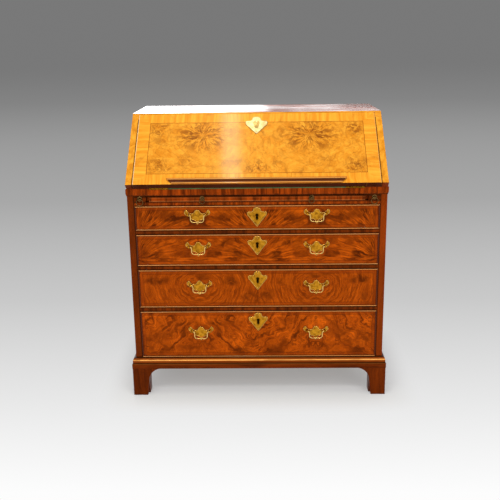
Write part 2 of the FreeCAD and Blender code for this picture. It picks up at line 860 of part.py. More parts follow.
def batwing_outline():
    """A handle plate: a crest between two valleys, raised wing tips and a lobed point below."""
    width = "plate_width"
    rise = "plate_rise"
    drop = "plate_drop"
    return symmetric([
        (0, rise, BOWED, "right"),
        (f"0.12 * {width}", f"0.58 * {rise}", BOWED, "left"),
        (f"0.23 * {width}", f"0.22 * {rise}", BOWED, "left"),
        (f"0.40 * {width}", f"0.84 * {rise}", ROUND, "right"),
        (f"0.49 * {width}", f"0.84 * {rise}", ROUND, "right"),
        (f"0.45 * {width}", f"-0.06 * {drop}", SHALLOW, "left"),
        (f"0.28 * {width}", f"-0.33 * {drop}", BOWED, "right"),
        (f"0.14 * {width}", f"-0.58 * {drop}", BOWED, "left"),
        (f"0.05 * {width}", f"-0.80 * {drop}", BOWED, "right"),
        (0, f"-({drop})"),
    ])


def circle_outline(x, radius):
    """A round hole as four quarter arcs."""
    return [
        (f"{x} + {radius}", 0, QUARTER, "left"),
        (x, radius, QUARTER, "left"),
        (f"{x} - ({radius})", 0, QUARTER, "left"),
        (x, f"-({radius})", QUARTER, "left"),
    ]


def fall_brasses():
    """The shield on the fall, with a drop that swings over its keyhole on a headed pin."""
    face = "fall_thickness"
    plate_top = f"({face} + plate_thickness)"
    pivot = f"({FALL_KEY} + cover_pivot_rise)"
    shield = profile(
        "fall_shield", "XY",
        [kite_outline("fall_plate_width", "fall_plate_rise", "fall_plate_drop"), keyhole()],
        face, plate_top,
    )
    place(shield, y=FALL_KEY)
    cover_low = f"({plate_top} + cover_gap)"
    cover_top = f"({cover_low} + cover_thickness)"
    cap_low = f"({cover_top} + cover_gap)"
    stem = rod("cover_pin_stem", "z", (0, pivot, plate_top), "cover_pin_radius", f"{cap_low} - {plate_top}")
    head = rod("cover_pin_cap", "z", (0, pivot, cap_low), "cover_pin_head_radius", "cover_pin_head")
    fall_node("fall_escutcheon", fuse("fall_shield_pinned", shield, stem, head))
    drop = profile("cover_drop_plate", "XY", [symmetric([
        (0, "cover_rise", QUARTER, "right"),
        ("cover_width / 2", 0, SHALLOW, "right"),
        ("0.38 * cover_width", "-0.55 * cover_drop", BOWED, "right"),
        (0, "-cover_drop"),
    ]), circle_outline("0", "(cover_pin_radius + cover_pin_clearance)")], cover_low, cover_top)
    place(drop, y=pivot)
    fall_node("keyhole_cover", drop)


def hinges():
    """Two hinges: leaves let into bed and fall, knuckles on the shared edge, and a pin through each."""
    bed_solids = []
    fall_solids = []
    outer = "((hinge_length - hinge_centre_length) / 2)"
    for side in (-1, 1):
        low, high = hinge_span(side)
        label = f"hinge_{'left' if side < 0 else 'right'}"
        centre_low = f"({low} + {outer})"
        gap_low = f"({centre_low} - knuckle_end_gap)"
        gap_length = "(hinge_centre_length + 2 * knuckle_end_gap)"
        clear = "knuckle_radius + knuckle_clearance"
        leaf = slab(
            f"{label}_bed_leaf", (low, high), (HINGE_Y, f"{HINGE_Y} + hinge_leaf_width"),
            (f"{BED_TOP} - hinge_leaf_thickness", BED_TOP),
        )
        barrel = rod(f"{label}_bed_barrel", "x", (low, HINGE_Y, BED_TOP), "knuckle_radius", "hinge_length")
        bed_solids.append(cut(
            f"{label}_bed",
            fuse(f"{label}_bed_blank", leaf, barrel),
            rod(f"{label}_bed_gap", "x", (gap_low, HINGE_Y, BED_TOP), clear, gap_length),
            rod(
                f"{label}_bed_bore", "x", (f"{low} - {OVERRUN}", HINGE_Y, BED_TOP),
                "hinge_pin_radius + hinge_pin_clearance", f"hinge_length + 2 * {OVERRUN}",
            ),
        ))
        bed_solids.append(rod(f"{label}_pin", "x", (low, HINGE_Y, BED_TOP), "hinge_pin_radius", "hinge_length"))
        leaf = slab(f"{label}_fall_leaf", (low, high), (0, "hinge_leaf_width"), (0, "hinge_leaf_thickness"))
        barrel = rod(f"{label}_fall_barrel", "x", (centre_low, 0, 0), "knuckle_radius", "hinge_centre_length")
        ends = []
        for end, start in (("low", f"{low} - {OVERRUN}"), ("high", f"{centre_low} + hinge_centre_length")):
            ends.append(rod(f"{label}_fall_gap_{end}", "x", (start, 0, 0), clear, f"{outer} + {OVERRUN}"))
        fall_solids.append(cut(
            f"{label}_fall",
            cut(f"{label}_fall_notched", fuse(f"{label}_fall_blank", leaf, barrel), *ends),
            rod(
                f"{label}_fall_bore", "x", (f"{low} - {OVERRUN}", 0, 0),
                "hinge_pin_radius + hinge_pin_clearance", f"hinge_length + 2 * {OVERRUN}",
            ),
        ))
    node("bed_hinges", *bed_solids)
    fall_node("fall_hinges", *fall_solids)


def ring_pull(name, middle, low, radius):
    """A rosette with an eyed post and a loose ring in the eye; gives the bore that the post needs."""
    level = f"({low} + pull_height)"
    plate = rod(
        f"{name}_plate", "y", (middle, "-rosette_thickness", level), "rosette_radius", "rosette_thickness",
    )
    stem = rod(
        f"{name}_stem", "y", (middle, "-pull_reach", level),
        "pull_stem_radius", "pull_reach + pull_stem_length",
    )
    head = ball(f"{name}_head", (middle, "-pull_reach", level), "pull_ball_radius")
    eye = rod(
        f"{name}_eye", "x", (f"{middle} - pull_ball_radius - {OVERRUN}", "-pull_reach", level),
        "ring_wire_radius + ring_eye_clearance", f"2 * (pull_ball_radius + {OVERRUN})",
    )
    ring = DOC.addObject("Part::Torus", f"{name}_hoop")
    ring.Placement = FreeCAD.Placement(FreeCAD.Vector(), TURN_TO["y"])
    bind(ring, Radius1=radius, Radius2="ring_wire_radius")
    place(ring, middle, "-pull_reach", f"{level} - {radius}")
    node(f"{name}_ring", ring)
    bore = rod(
        f"{name}_socket", "y", (middle, f"-{OVERRUN}", level),
        "pull_stem_radius + post_hole_clearance", f"pull_stem_length + {OVERRUN}",
    )
    return cut(f"{name}_post", fuse(f"{name}_blank", plate, stem, head), eye), bore


def lopers():
    """Two lopers that carry the open fall, each with a ring pull."""
    low = f"({SHELF_TOP} + runner_clearance)"
    for side, sign in (("left", -1), ("right", 1)):
        inner = f"({sign} * ({LOPER_INNER} + loper_side_clearance))"
        outer = f"({sign} * ({INNER} - loper_side_clearance))"
        across = (outer, inner) if sign < 0 else (inner, outer)
        name = f"loper_{side}"
        post, bore = ring_pull(name, f"(({inner} + {outer}) / 2)", low, "loper_ring_radius")
        level = (low, f"{low} + loper_height")
        bar = slab(f"{name}_bar", across, (0, f"{BACK} - loper_back_gap"), level)
        node(name, cut(f"{name}_bored", bar, bore))
        node(f"{name}_rosette", post)


def brushing_slide():
    """A thin pull-out board: a front lipping, a panel behind it and two ring pulls."""
    low = f"({SHELF_TOP} + runner_clearance)"
    level = (low, f"{low} + slide_thickness")
    half = f"({SLIDE_HALF} - slide_side_clearance)"
    front = slab("slide_front", (f"-{half}", half), (0, "slide_front_depth"), level)
    panel = slab("slide_panel", (f"-{half}", half), ("slide_front_depth", f"{BACK} - slide_back_gap"), level)
    posts = []
    bores = []
    for side, sign in (("left", -1), ("right", 1)):
        middle = f"({sign} * ({SLIDE_HALF} - slide_pull_inset))"
        post, bore = ring_pull(f"slide_{side}", middle, low, "slide_ring_radius")
        posts.append(post)
        bores.append(bore)
    node("brushing_slide", cut("slide_front_bored", front, *bores), panel)
    node("slide_rosettes", *posts)


def cock_beads(number, low, high):
    """The half-round beads round a drawer front: top and bottom full length, sides between them."""
    half_bead = "(bead_thickness / 2)"
    nose = "(-bead_projection)"
    spring = f"(-bead_projection + {half_bead})"
    beads = []
    for edge, level in (("bottom", low), ("top", f"({high} - bead_thickness)")):
        outline = [
            ("drawer_front_thickness", level),
            ("drawer_front_thickness", f"{level} + bead_thickness"),
            (spring, f"{level} + bead_thickness", QUARTER, "left"),
            (nose, f"{level} + {half_bead}", QUARTER, "left"),
            (spring, level),
        ]
        beads.append(profile(f"bead_{number}_{edge}", "YZ", [outline], f"-{DRAWER_HALF}", DRAWER_HALF))
    for edge, start in (("left", f"(-{DRAWER_HALF})"), ("right", f"({DRAWER_HALF} - bead_thickness)")):
        outline = [
            (start, "drawer_front_thickness"),
            (start, spring, QUARTER, "left"),
            (f"{start} + {half_bead}", nose, QUARTER, "left"),
            (f"{start} + bead_thickness", spring),
            (f"{start} + bead_thickness", "drawer_front_thickness"),
        ]
        beads.append(profile(
            f"bead_{number}_{edge}", "XY", [outline], f"{low} + bead_thickness", f"{high} - bead_thickness",
        ))
    return beads


def handle_hardware(number, side, middle, level):
    """One handle's plate, its two posts and their nuts; gives them with the holes that they need."""
    label = f"handle_{number}_{side}"
    half = "(post_spacing / 2)"
    hole = "(post_radius + post_hole_clearance)"
    plate = profile(
        f"{label}_plate", "XZ",
        [batwing_outline(), circle_outline(f"-{half}", hole), circle_outline(half, hole)],
        "-plate_thickness", 0,
    )
    place(plate, middle, None, level)
    solids = [plate]
    holes = []
    tail = "(drawer_front_thickness + nut_height + post_tail)"
    collar_back = "(plate_thickness + post_collar_height)"
    for end, sign in (("a", -1), ("b", 1)):
        x = f"({middle} + {sign} * {half})"
        name = f"{label}_{end}"
        blank = fuse(
            f"{name}_blank",
            rod(f"{name}_shank", "y", (x, "-post_reach", level), "post_radius", f"post_reach + {tail}"),
            rod(
                f"{name}_collar", "y", (x, f"-{collar_back}", level),
                "post_collar_radius", "post_collar_height",
            ),
            ball(f"{name}_ball", (x, "-post_reach", level), "post_ball_radius"),
        )
        eye = rod(
            f"{name}_eye", "x", (f"{x} - post_ball_radius - {OVERRUN}", "-post_reach", level),
            "bail_radius + bail_running_clearance", f"2 * (post_ball_radius + {OVERRUN})",
        )
        solids.append(cut(f"{name}_post", blank, eye))
        nut = DOC.addObject("Part::Prism", f"{name}_nut_blank")
        nut.Polygon = 6
        nut.Placement = FreeCAD.Placement(FreeCAD.Vector(), TURN_TO["y"])
        bind(nut, Circumradius="nut_radius", Height="nut_height")
        place(nut, x, "drawer_front_thickness", level)
        bore = rod(
            f"{name}_nut_bore", "y", (x, f"drawer_front_thickness - {OVERRUN}", level),
            hole, f"nut_height + 2 * {OVERRUN}",
        )
        solids.append(cut(f"{name}_nut", nut, bore))
        holes.append(rod(
            f"{name}_hole", "y", (x, f"-{OVERRUN}", level), hole, f"drawer_front_thickness + 2 * {OVERRUN}",
        ))
    return solids, holes


def bail(name, middle, level):
    """A swinging handle whose turned-out ends sit in the eyes of its two posts."""
    tip = "(post_spacing / 2 + post_ball_radius)"
    shoulder = "(post_spacing / 2 - post_ball_radius - bail_shoulder)"
    arm = f"({shoulder} - bail_bend)"
    foot = f"({arm} - bail_corner)"
    path = [
        (f"-{tip}", 0),
        (f"-{shoulder}", 0, QUARTER, "right"),
        (f"-{arm}", "-bail_bend"),
        (f"-{arm}", "bail_corner - bail_drop", QUARTER, "left"),
        (f"-{foot}", "-bail_drop"),
        (foot, "-bail_drop", QUARTER, "left"),
        (arm, "bail_corner - bail_drop"),
        (arm, "-bail_bend", QUARTER, "right"),
        (shoulder, 0),
        (tip, 0),
    ]
    wire = bent_rod(f"{name}_wire", path, "bail_radius")
    place(wire, middle, "-post_reach", level)
    node(name, wire)


def drawer_box(number, low, rise):
    """The oak box behind a drawer front: two sides, a back and a bottom."""
    inner = f"({DRAWER_HALF} - drawer_side_thickness)"
    rim = f"({low} + {rise} - drawer_rim_drop)"
    floor = f"({low} + drawer_bottom_lift)"
    floor_top = f"({floor} + drawer_bottom_thickness)"
    length = ("drawer_front_thickness", DRAWER_END)
    node(
        f"drawer_{number}_box",
        slab(f"drawer_{number}_left", (f"-{DRAWER_HALF}", f"-{inner}"), length, (low, rim)),
        slab(f"drawer_{number}_right", (inner, DRAWER_HALF), length, (low, rim)),
        slab(f"drawer_{number}_bottom", (f"-{inner}", inner), length, (floor, floor_top)),
        slab(
            f"drawer_{number}_back", (f"-{inner}", inner),
            (f"{DRAWER_END} - drawer_side_thickness", DRAWER_END),
            (floor_top, rim),
        ),
    )


def long_drawer(number):
    low = FLOORS[number]
    rise = f"drawer_{number}_height"
    high = f"({low} + {rise})"
    post_level = f"({low} + {rise} / 2 + handle_rise)"
    key_level = f"({high} - key_depth)"
    face_half = f"({DRAWER_HALF} - bead_thickness)"
    board = slab(
        f"drawer_{number}_board", (f"-{face_half}", face_half), (0, "drawer_front_thickness"),
        (f"{low} + bead_thickness", f"{high} - bead_thickness"),
    )
    lock_front = "(drawer_front_thickness - lock_thickness)"
    lock_across = ("-lock_width / 2", "lock_width / 2")
    lock_level = (f"{key_level} - lock_drop", f"{key_level} + lock_rise")
    recess = slab(
        f"lock_{number}_recess", lock_across,
        (lock_front, f"drawer_front_thickness + {OVERRUN}"), lock_level,
    )
    key_bore = rod(
        f"key_{number}_bore", "y", (0, f"-{OVERRUN}", key_level),
        "key_radius + key_clearance", f"{lock_front} + 2 * {OVERRUN}",
    )
    key_way = slab(
        f"key_{number}_way", ("-key_foot / 2 - key_clearance", "key_foot / 2 + key_clearance"),
        (f"-{OVERRUN}", f"{lock_front} + {OVERRUN}"), (f"{key_level} - key_slot - key_clearance", key_level),
    )
    brasses = []
    holes = []
    for side, sign in (("left", -1), ("right", 1)):
        middle = f"({sign} * {HANDLE_OFFSET})"
        solids, bores = handle_hardware(number, side, middle, post_level)
        brasses += solids
        holes += bores
    plate = profile(
        f"escutcheon_{number}", "XZ",
        [kite_outline("escutcheon_width", "escutcheon_rise", "escutcheon_drop"), keyhole()],
        "-plate_thickness", 0,
    )
    place(plate, None, None, key_level)
    brasses.append(plate)
    brasses.append(slab(f"lock_{number}_case", lock_across, (lock_front, "drawer_front_thickness"), lock_level))
    front = cut(f"drawer_{number}_bored", board, recess, key_bore, key_way, *holes)
    node(f"drawer_{number}_front", front, *cock_beads(number, low, high))
    drawer_box(number, low, rise)
    node(f"drawer_{number}_brasses", *brasses)
    for side, sign in (("left", -1), ("right", 1)):
        bail(f"drawer_{number}_bail_{side}", f"({sign} * {HANDLE_OFFSET})", post_level)


def pigeonhole_nest():
    """The fitted inside of the desk: a base, a shelf, uprights and dividers, and a valance to each hole."""
    front = NEST_FRONT
    boards = [
        slab("nest_base", ACROSS, (front, BACK), (BED_TOP, NEST_BASE_TOP)),
        slab("nest_shelf", ACROSS, (front, BACK), (NEST_SHELF_LOW, NEST_SHELF_TOP)),
    ]
    drawers = count("small_drawer_count")
    for i in range(1, drawers):
        middle = f"(2 * {INNER} * {i} / small_drawer_count - {INNER})"
        across = (f"{middle} - nest_upright_thickness / 2", f"{middle} + nest_upright_thickness / 2")
        boards.append(slab(f"nest_upright_{i}", across, (front, BACK), (NEST_BASE_TOP, NEST_SHELF_LOW)))
    holes = count("pigeonhole_count")
    pitch = f"(2 * {INNER} / pigeonhole_count)"
    for i in range(1, holes):
        middle = f"({i} * {pitch} - {INNER})"
        across = (f"{middle} - nest_divider_thickness / 2", f"{middle} + nest_divider_thickness / 2")
        boards.append(slab(f"nest_divider_{i}", across, (front, BACK), (NEST_SHELF_TOP, TOP_LOW)))
    for i in range(holes):
        left = f"({i} * {pitch} - {INNER} + {'nest_divider_thickness / 2' if i else 0})"
        right = f"({i + 1} * {pitch} - {INNER} - {'nest_divider_thickness / 2' if i + 1 < holes else 0})"
        low = f"({TOP_LOW} - valance_height)"
        outline = [
            (left, low),
            (f"{left} + valance_shoulder", low, ROUND, "right"),
            (f"{right} - valance_shoulder", low),
            (right, low),
            (right, TOP_LOW),
            (left, TOP_LOW),
        ]
        back = f"({front} + valance_setback + valance_thickness)"
        boards.append(profile(f"valance_{i + 1}", "XZ", [outline], f"{front} + valance_setback", back))
    node("pigeonhole_nest", *boards)


def small_drawers():
    drawers = count("small_drawer_count")
    pitch = f"(2 * {INNER} / small_drawer_count)"
    front = NEST_FRONT
    box_front = f"({front} + small_front_thickness)"
    end = f"({BACK} - small_drawer_back_gap)"
    high = f"({SMALL_FLOOR} + small_drawer_height)"
    rim = f"({high} - small_rim_drop)"
    floor_top = f"({SMALL_FLOOR} + small_bottom_thickness)"
    for i in range(drawers):
        left_wall = "nest_upright_thickness / 2" if i else "0"
        right_wall = "nest_upright_thickness / 2" if i + 1 < drawers else "0"
        left = f"({i} * {pitch} - {INNER} + {left_wall} + small_side_clearance)"
        right = f"({i + 1} * {pitch} - {INNER} - {right_wall} - small_side_clearance)"
        middle = f"(({left} + {right}) / 2)"
        level = f"({SMALL_FLOOR} + small_drawer_height / 2)"
        name = f"small_drawer_{i + 1}"
        inner = (f"{left} + small_side_thickness", f"{right} - small_side_thickness")
        socket = rod(
            f"{name}_socket", "y", (middle, f"{front} - {OVERRUN}", level),
            "small_stem_radius + post_hole_clearance", f"small_stem_length + {OVERRUN}",
        )
        face = slab(f"{name}_face", (left, right), (front, box_front), (SMALL_FLOOR, high))
        knob_y = f"({front} - small_knob_reach + small_knob_radius)"
        knob = fuse(
            f"{name}_knob",
            rod(
                f"{name}_stem", "y", (middle, knob_y, level), "small_stem_radius",
                f"{front} + small_stem_length - {knob_y}",
            ),
            ball(f"{name}_ball", (middle, knob_y, level), "small_knob_radius"),
        )
        knob_flat = slab(
            f"{name}_knob_flat",
            (f"{middle} - 2 * small_knob_radius", f"{middle} + 2 * small_knob_radius"),
            (front, box_front), (SMALL_FLOOR, high),
        )
        shank = rod(
            f"{name}_shank", "y", (middle, front, level), "small_stem_radius", "small_stem_length",
        )
        node(
            name,
            cut(f"{name}_front", face, socket),
            slab(f"{name}_left", (left, inner[0]), (box_front, end), (SMALL_FLOOR, rim)),
            slab(f"{name}_right", (inner[1], right), (box_front, end), (SMALL_FLOOR, rim)),
            slab(f"{name}_bottom", inner, (box_front, end), (SMALL_FLOOR, floor_top)),
            slab(f"{name}_back", inner, (f"{end} - small_side_thickness", end), (floor_top, rim)),
            fuse(f"{name}_turned", cut(f"{name}_knob_trimmed", knob, knob_flat), shank),
        )


def check_model():
    """Stop if any object failed or any sub-part is not a set of sound, separate solids."""
    for item in DOC.Objects:
        if "Invalid" in item.State or "Error" in item.State:
            raise RuntimeError(f"{item.Label} failed: {item.State}")
    for item, solids in NODES:
        shape = item.Shape
        if shape.isNull() or not shape.isValid():
            raise RuntimeError(f"{item.Label} has no valid shape")
        if len(shape.Solids) != solids:
            raise RuntimeError(f"{item.Label} has {len(shape.Solids)} solids, not {solids}")


def main():
    fill_sheet()
    carcase_sides()
    top_board()
    back_boards()
    bottom_board()
    drawer_rails()
    base_moulding()
    feet()
    loper_shelf()
    writing_bed()
    fall()
    book_rest()
    fall_brasses()
    hinges()
    lopers()
    brushing_slide()
    for number in LONG_DRAWERS:
        long_drawer(number)
    pigeonhole_nest()
    small_drawers()
    DOC.recompute()
    check_model()
    os.makedirs("parts", exist_ok=True)
    for item, _ in NODES:
        item.Shape.exportStep(f"parts/{item.Label}.step")
    print(f"{len(NODES)} sub-parts written")


main()
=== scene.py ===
import json
import math
from functools import partialmethod

import bpy
from mathutils import Matrix, Vector


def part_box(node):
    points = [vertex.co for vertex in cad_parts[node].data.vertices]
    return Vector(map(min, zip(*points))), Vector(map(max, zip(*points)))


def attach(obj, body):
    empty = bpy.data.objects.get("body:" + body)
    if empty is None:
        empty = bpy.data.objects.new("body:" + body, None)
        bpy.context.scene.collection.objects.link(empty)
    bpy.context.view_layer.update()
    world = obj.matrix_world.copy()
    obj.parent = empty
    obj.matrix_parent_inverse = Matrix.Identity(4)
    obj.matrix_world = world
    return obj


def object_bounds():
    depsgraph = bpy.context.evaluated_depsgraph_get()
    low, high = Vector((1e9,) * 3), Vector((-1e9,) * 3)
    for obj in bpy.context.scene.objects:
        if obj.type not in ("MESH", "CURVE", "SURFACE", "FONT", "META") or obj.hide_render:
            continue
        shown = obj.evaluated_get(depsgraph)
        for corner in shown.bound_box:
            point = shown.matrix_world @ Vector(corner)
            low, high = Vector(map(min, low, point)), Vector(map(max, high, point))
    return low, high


bl_info = {
    "name": "Writing Bureau Looks",
    "version": (1, 0, 0),
    "blender": (4, 5, 0),
    "location": "View3D > Sidebar > Bureau",
    "description": "Veneers, brasses, linings and stage for a fall-front writing bureau",
    "category": "Object",
}

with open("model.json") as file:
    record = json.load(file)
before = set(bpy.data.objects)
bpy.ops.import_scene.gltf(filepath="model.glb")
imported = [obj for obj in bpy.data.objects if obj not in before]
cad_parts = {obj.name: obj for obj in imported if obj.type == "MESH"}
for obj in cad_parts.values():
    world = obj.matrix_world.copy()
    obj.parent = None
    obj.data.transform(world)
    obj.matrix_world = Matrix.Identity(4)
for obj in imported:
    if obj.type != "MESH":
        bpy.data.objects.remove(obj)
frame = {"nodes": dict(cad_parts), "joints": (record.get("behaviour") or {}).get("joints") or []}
CAD_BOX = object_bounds()
NODES = frame["nodes"]
JOINTS = {joint["name"]: joint for joint in frame["joints"]}
HINGE = Vector(JOINTS["fall_hinge"]["pos_m"])
SLOPE = math.pi - math.radians(JOINTS["fall_hinge"]["range_deg"][1])
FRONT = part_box("loper_left")[0].y
DRAWERS = (1, 2, 3, 4)
SIDES = ("left", "right")

# Sizes in metres that the part gives its pieces
PLATE_FACE = 0.0016  # brass plates, out from the drawer front
KEY_DEPTH = 0.034  # long drawer's keyhole, below the top of its front
KEY_BORE = 0.018  # reach of the keyway behind that keyhole
FALL_FACE = 0.026  # face of the fall, out from the hinge line
FALL_KEY_DEPTH = 0.052  # fall's keyhole, below its head
HINGE_LEAF = 0.064  # length of a hinge leaf
BEAD = 0.0036  # width of a cock bead
BACK_BOARDS = 4


# Properties


def colour(name, description, default):
    return bpy.props.FloatVectorProperty(
        name=name, description=description, default=default, size=3, min=0.0, max=1.0, subtype="COLOR"
    )


def amount(name, description, default, **kind):
    return bpy.props.FloatProperty(name=name, description=description, default=default, min=0.0, **kind)


def length(name, description, default):
    return amount(name, description, default, subtype="DISTANCE", unit="LENGTH")


def power(name, description, default):
    return amount(name, description, default, unit="POWER")


class BureauWood(bpy.types.PropertyGroup):
    """Veneers, solid walnut and the plain wood inside."""

    burr_light: colour("Burr light", "Lightest tone of the fall", (0.86, 0.37, 0.032))
    burr_mid: colour("Burr middle", "Main tone of the fall", (0.66, 0.222, 0.010))
    burr_dark: colour("Burr dark", "Streaks and eyes of the fall", (0.135, 0.018, 0.0006))
    veneer_light: colour("Veneer light", "Lightest tone of the drawer fronts", (0.40, 0.066, 0.0018))
    veneer_mid: colour("Veneer middle", "Main tone of the drawer fronts", (0.215, 0.0265, 0.0006))
    veneer_dark: colour("Veneer dark", "Streaks of the drawer fronts", (0.040, 0.0045, 0.0004))
    solid_light: colour("Walnut light", "Lighter grain of the case", (0.33, 0.046, 0.0022))
    solid_dark: colour("Walnut dark", "Darker grain of the case", (0.125, 0.0145, 0.0009))
    oak_light: colour("Oak light", "Lighter grain of drawer linings and back", (0.44, 0.27, 0.12))
    oak_dark: colour("Oak dark", "Darker grain of drawer linings and back", (0.24, 0.13, 0.05))
    band_width: length("Cross-band", "Width of the cross-banded border of the fall", 0.044)
    line_width: length("Line", "Width of the dark line inside the cross-band", 0.0014)
    arris: length("Arris", "Softened radius of the wood's edges", 0.0012)


class BureauMetal(bpy.types.PropertyGroup):
    """Brasses and the small fixings."""

    brass_bright: colour("Brass", "Rubbed brass", (0.66, 0.30, 0.017))
    brass_dull: colour("Brass patina", "Brass in its hollows", (0.25, 0.088, 0.004))
    brass_bail: colour("Bails", "Bright brass of the handles' bails", (0.90, 0.60, 0.19))
    brass_rim: colour("Rims", "Rubbed rims and pins of the plates", (0.86, 0.50, 0.12))
    brass_shield: colour("Shield", "Pale brass of the fall's shield", (0.54, 0.43, 0.25))
    brass_drop: colour("Drop", "Brass of the keyhole drop", (0.36, 0.26, 0.11))
    bronze: colour("Dark brass", "Toned brass of the ring pulls", (0.20, 0.105, 0.032))
    steel: colour("Steel", "Lock of the fall", (0.32, 0.31, 0.30))
    rim_radius: length("Rim", "Radius of the raised edge of a plate", 0.0012)
    pin_radius: length("Pin", "Radius of an escutcheon pin's head", 0.0016)
    screw_radius: length("Screw", "Radius of a hinge screw's head", 0.0036)
    nail_radius: length("Nail", "Radius of a nail head in the back", 0.0032)


class BureauLining(bpy.types.PropertyGroup):
    """Leather of the bed and the fall."""

    leather: colour("Leather", "Dyed leather", (0.022, 0.140, 0.042))
    tooling: colour("Tooling", "Gilt line round the leather", (0.62, 0.42, 0.12))
    tooling_inset: length("Tooling inset", "Distance of the gilt line from the edge", 0.012)


class BureauStage(bpy.types.PropertyGroup):
    """Floor, light and camera."""

    floor_near: colour("Floor", "Tint of the floor round the bureau", (0.95, 0.95, 0.95))
    floor_far: colour("Far floor", "Floor far away", (0.19, 0.19, 0.19))
    light_level: amount("Soft light", "Strength of the even light all round", 0.62)
    key_power: power("Key light", "Power of the front lights", 26.0)
    strip_power: power("Strip light", "Power of the strip overhead", 14.0)
    bar_power: power("Front bar", "Power of the wide bar above the front", 26.0)
    card_level: amount("Rear card", "Brightness of the card behind the bureau", 6.5)
    camera_place: bpy.props.FloatVectorProperty(
        name="Camera",
        description="Place of the camera",
        default=(0.0343, FRONT - 2.379, 1.2651),
        subtype="TRANSLATION",
    )
    camera_turn: bpy.props.FloatVectorProperty(
        name="Camera turn",
        description="Pitch down, roll and yaw of the camera",
        default=(math.radians(14.56), math.radians(-0.77), math.radians(-1.15)),
        subtype="EULER",
    )
    lens: amount("Lens", "Focal length in millimetres", 50.76, unit="CAMERA")


# Node helpers


class Flow:
    """A number, place or colour in a node tree; arithmetic written with it becomes nodes."""

    def __init__(self, tree, socket):
        self.tree, self.socket = tree, socket

    def do(self, operation, *others, out=0):
        """Go on through a Math node, or a Vector Math node for a place or colour."""
        kind = "ShaderNodeMath" if self.socket.type == "VALUE" else "ShaderNodeVectorMath"
        return flow(self.tree, kind, dict(enumerate((self, *others))), out, operation=operation)

    def after(self, operation, other):
        """Go on through a Math node in which another number comes first."""
        return flow(self.tree, "ShaderNodeMath", {0: other, 1: self}, operation=operation)

    __add__ = partialmethod(do, "ADD")
    __sub__ = partialmethod(do, "SUBTRACT")
    __mul__ = partialmethod(do, "MULTIPLY")
    __truediv__ = partialmethod(do, "DIVIDE")
    __rsub__ = partialmethod(after, "SUBTRACT")
    __rtruediv__ = partialmethod(after, "DIVIDE")
    __abs__ = partialmethod(do, "ABSOLUTE")
    __lt__ = partialmethod(do, "LESS_THAN")
    length = partialmethod(do, "LENGTH", out=1)
    dot = partialmethod(do, "DOT_PRODUCT", out=1)

    def scaled(self, factor):
        return flow(self.tree, "ShaderNodeVectorMath", {0: self, "Scale": factor}, operation="SCALE")

    def xyz(self):
        split = put(self.tree, "ShaderNodeSeparateXYZ", {0: self})
        return [Flow(self.tree, socket) for socket in split.outputs]


def feed(node, inputs):
    """Link or set the inputs that are given."""
    for key, given in inputs.items():
        given = getattr(given, "socket", given)
        if isinstance(given, bpy.types.NodeSocket):
            node.id_data.links.new(given, node.inputs[key])
        else:
            node.inputs[key].default_value = given


def put(tree, kind, inputs=None, **settings):
    """Add a node with its options and inputs."""
    node = tree.nodes.new(kind)
    for name, setting in settings.items():
        setattr(node, name, setting)
    feed(node, inputs or {})
    return node


def flow(tree, kind, inputs=None, out=0, **settings):
    """Add a node and go on from one of its outputs."""
    return Flow(tree, put(tree, kind, inputs, **settings).outputs[out])


def tree_of(*given):
    return next(item.tree for item in given if isinstance(item, Flow))


def most(first, *others):
    for other in others:
        first = first.do("MAXIMUM", other)
    return first


def least(first, *others):
    for other in others:
        first = first.do("MINIMUM", other)
    return first


def spread(given, low, high, start=0.0, end=1.0):
    """Map a span of values to another, held at both ends, with a smooth step between."""
    inputs = {"Value": given, "From Min": low, "From Max": high, "To Min": start, "To Max": end}
    return flow(given.tree, "ShaderNodeMapRange", inputs, "Result", interpolation_type="SMOOTHSTEP")


def mix(factor, first, second, blend="MIX"):
    """Blend two colours or places."""
    first, second = (tone if isinstance(tone, Flow) else (*tone, 1.0) for tone in (first, second))
    inputs = {0: factor, 6: first, 7: second}
    return flow(tree_of(factor, first), "ShaderNodeMix", inputs, 2, data_type="RGBA", blend_type=blend)


def coats(tint, *layers):
    """Lay tones over a tint, each through its mask."""
    for mask, tone in layers:
        tint = mix(mask, tint, tone)
    return tint


def shade(tone, factor):
    """A tone made darker or lighter."""
    return tuple(min(1.0, part * factor) for part in tone)


def noise(place, scale, detail=3.0, roughness=0.55, distortion=0.0, out="Fac"):
    inputs = {
        "Vector": place, "Scale": scale, "Detail": detail,
        "Roughness": roughness, "Distortion": distortion,
    }
    return flow(place.tree, "ShaderNodeTexNoise", inputs, out, noise_dimensions="3D")


def drift(place, scale, detail, roughness=0.55):
    """Noise about zero, of its own in each direction."""
    return noise(place, scale, detail, roughness, out="Color") - (0.5, 0.5, 0.5)


def join(x, y, z=0.0):
    return flow(tree_of(x, y, z), "ShaderNodeCombineXYZ", {0: x, 1: y, 2: z})


def face_normal(tree):
    return flow(tree, "ShaderNodeNewGeometry", out="Normal")


def on_slope(place):
    """The place as seen on the fall: across it, up its slope and out of its face."""
    inputs = {"Vector": place, "Location": HINGE, "Rotation": (SLOPE, 0.0, 0.0)}
    return flow(place.tree, "ShaderNodeMapping", inputs, vector_type="TEXTURE")


def new_tree(kind, name, inputs):
    """An empty node group with named inputs; gives the tree and a flow from each input."""
    tree = bpy.data.node_groups.new(name, kind)
    for title, sort in inputs.items():
        tree.interface.new_socket(title, in_out="INPUT", socket_type=f"NodeSocket{sort}")
    given = tree.nodes.new("NodeGroupInput").outputs
    return tree, *[Flow(tree, given[title]) for title in inputs]


def close_tree(tree, results):
    """Lead flows out of a node group by name."""
    sorts = {"VALUE": "Float", "VECTOR": "Vector", "GEOMETRY": "Geometry"}
    for title, result in results.items():
        sort = sorts[result.socket.type]
        tree.interface.new_socket(title, in_out="OUTPUT", socket_type=f"NodeSocket{sort}")
    put(tree, "NodeGroupOutput", results)
    return tree


# Shared shader groups


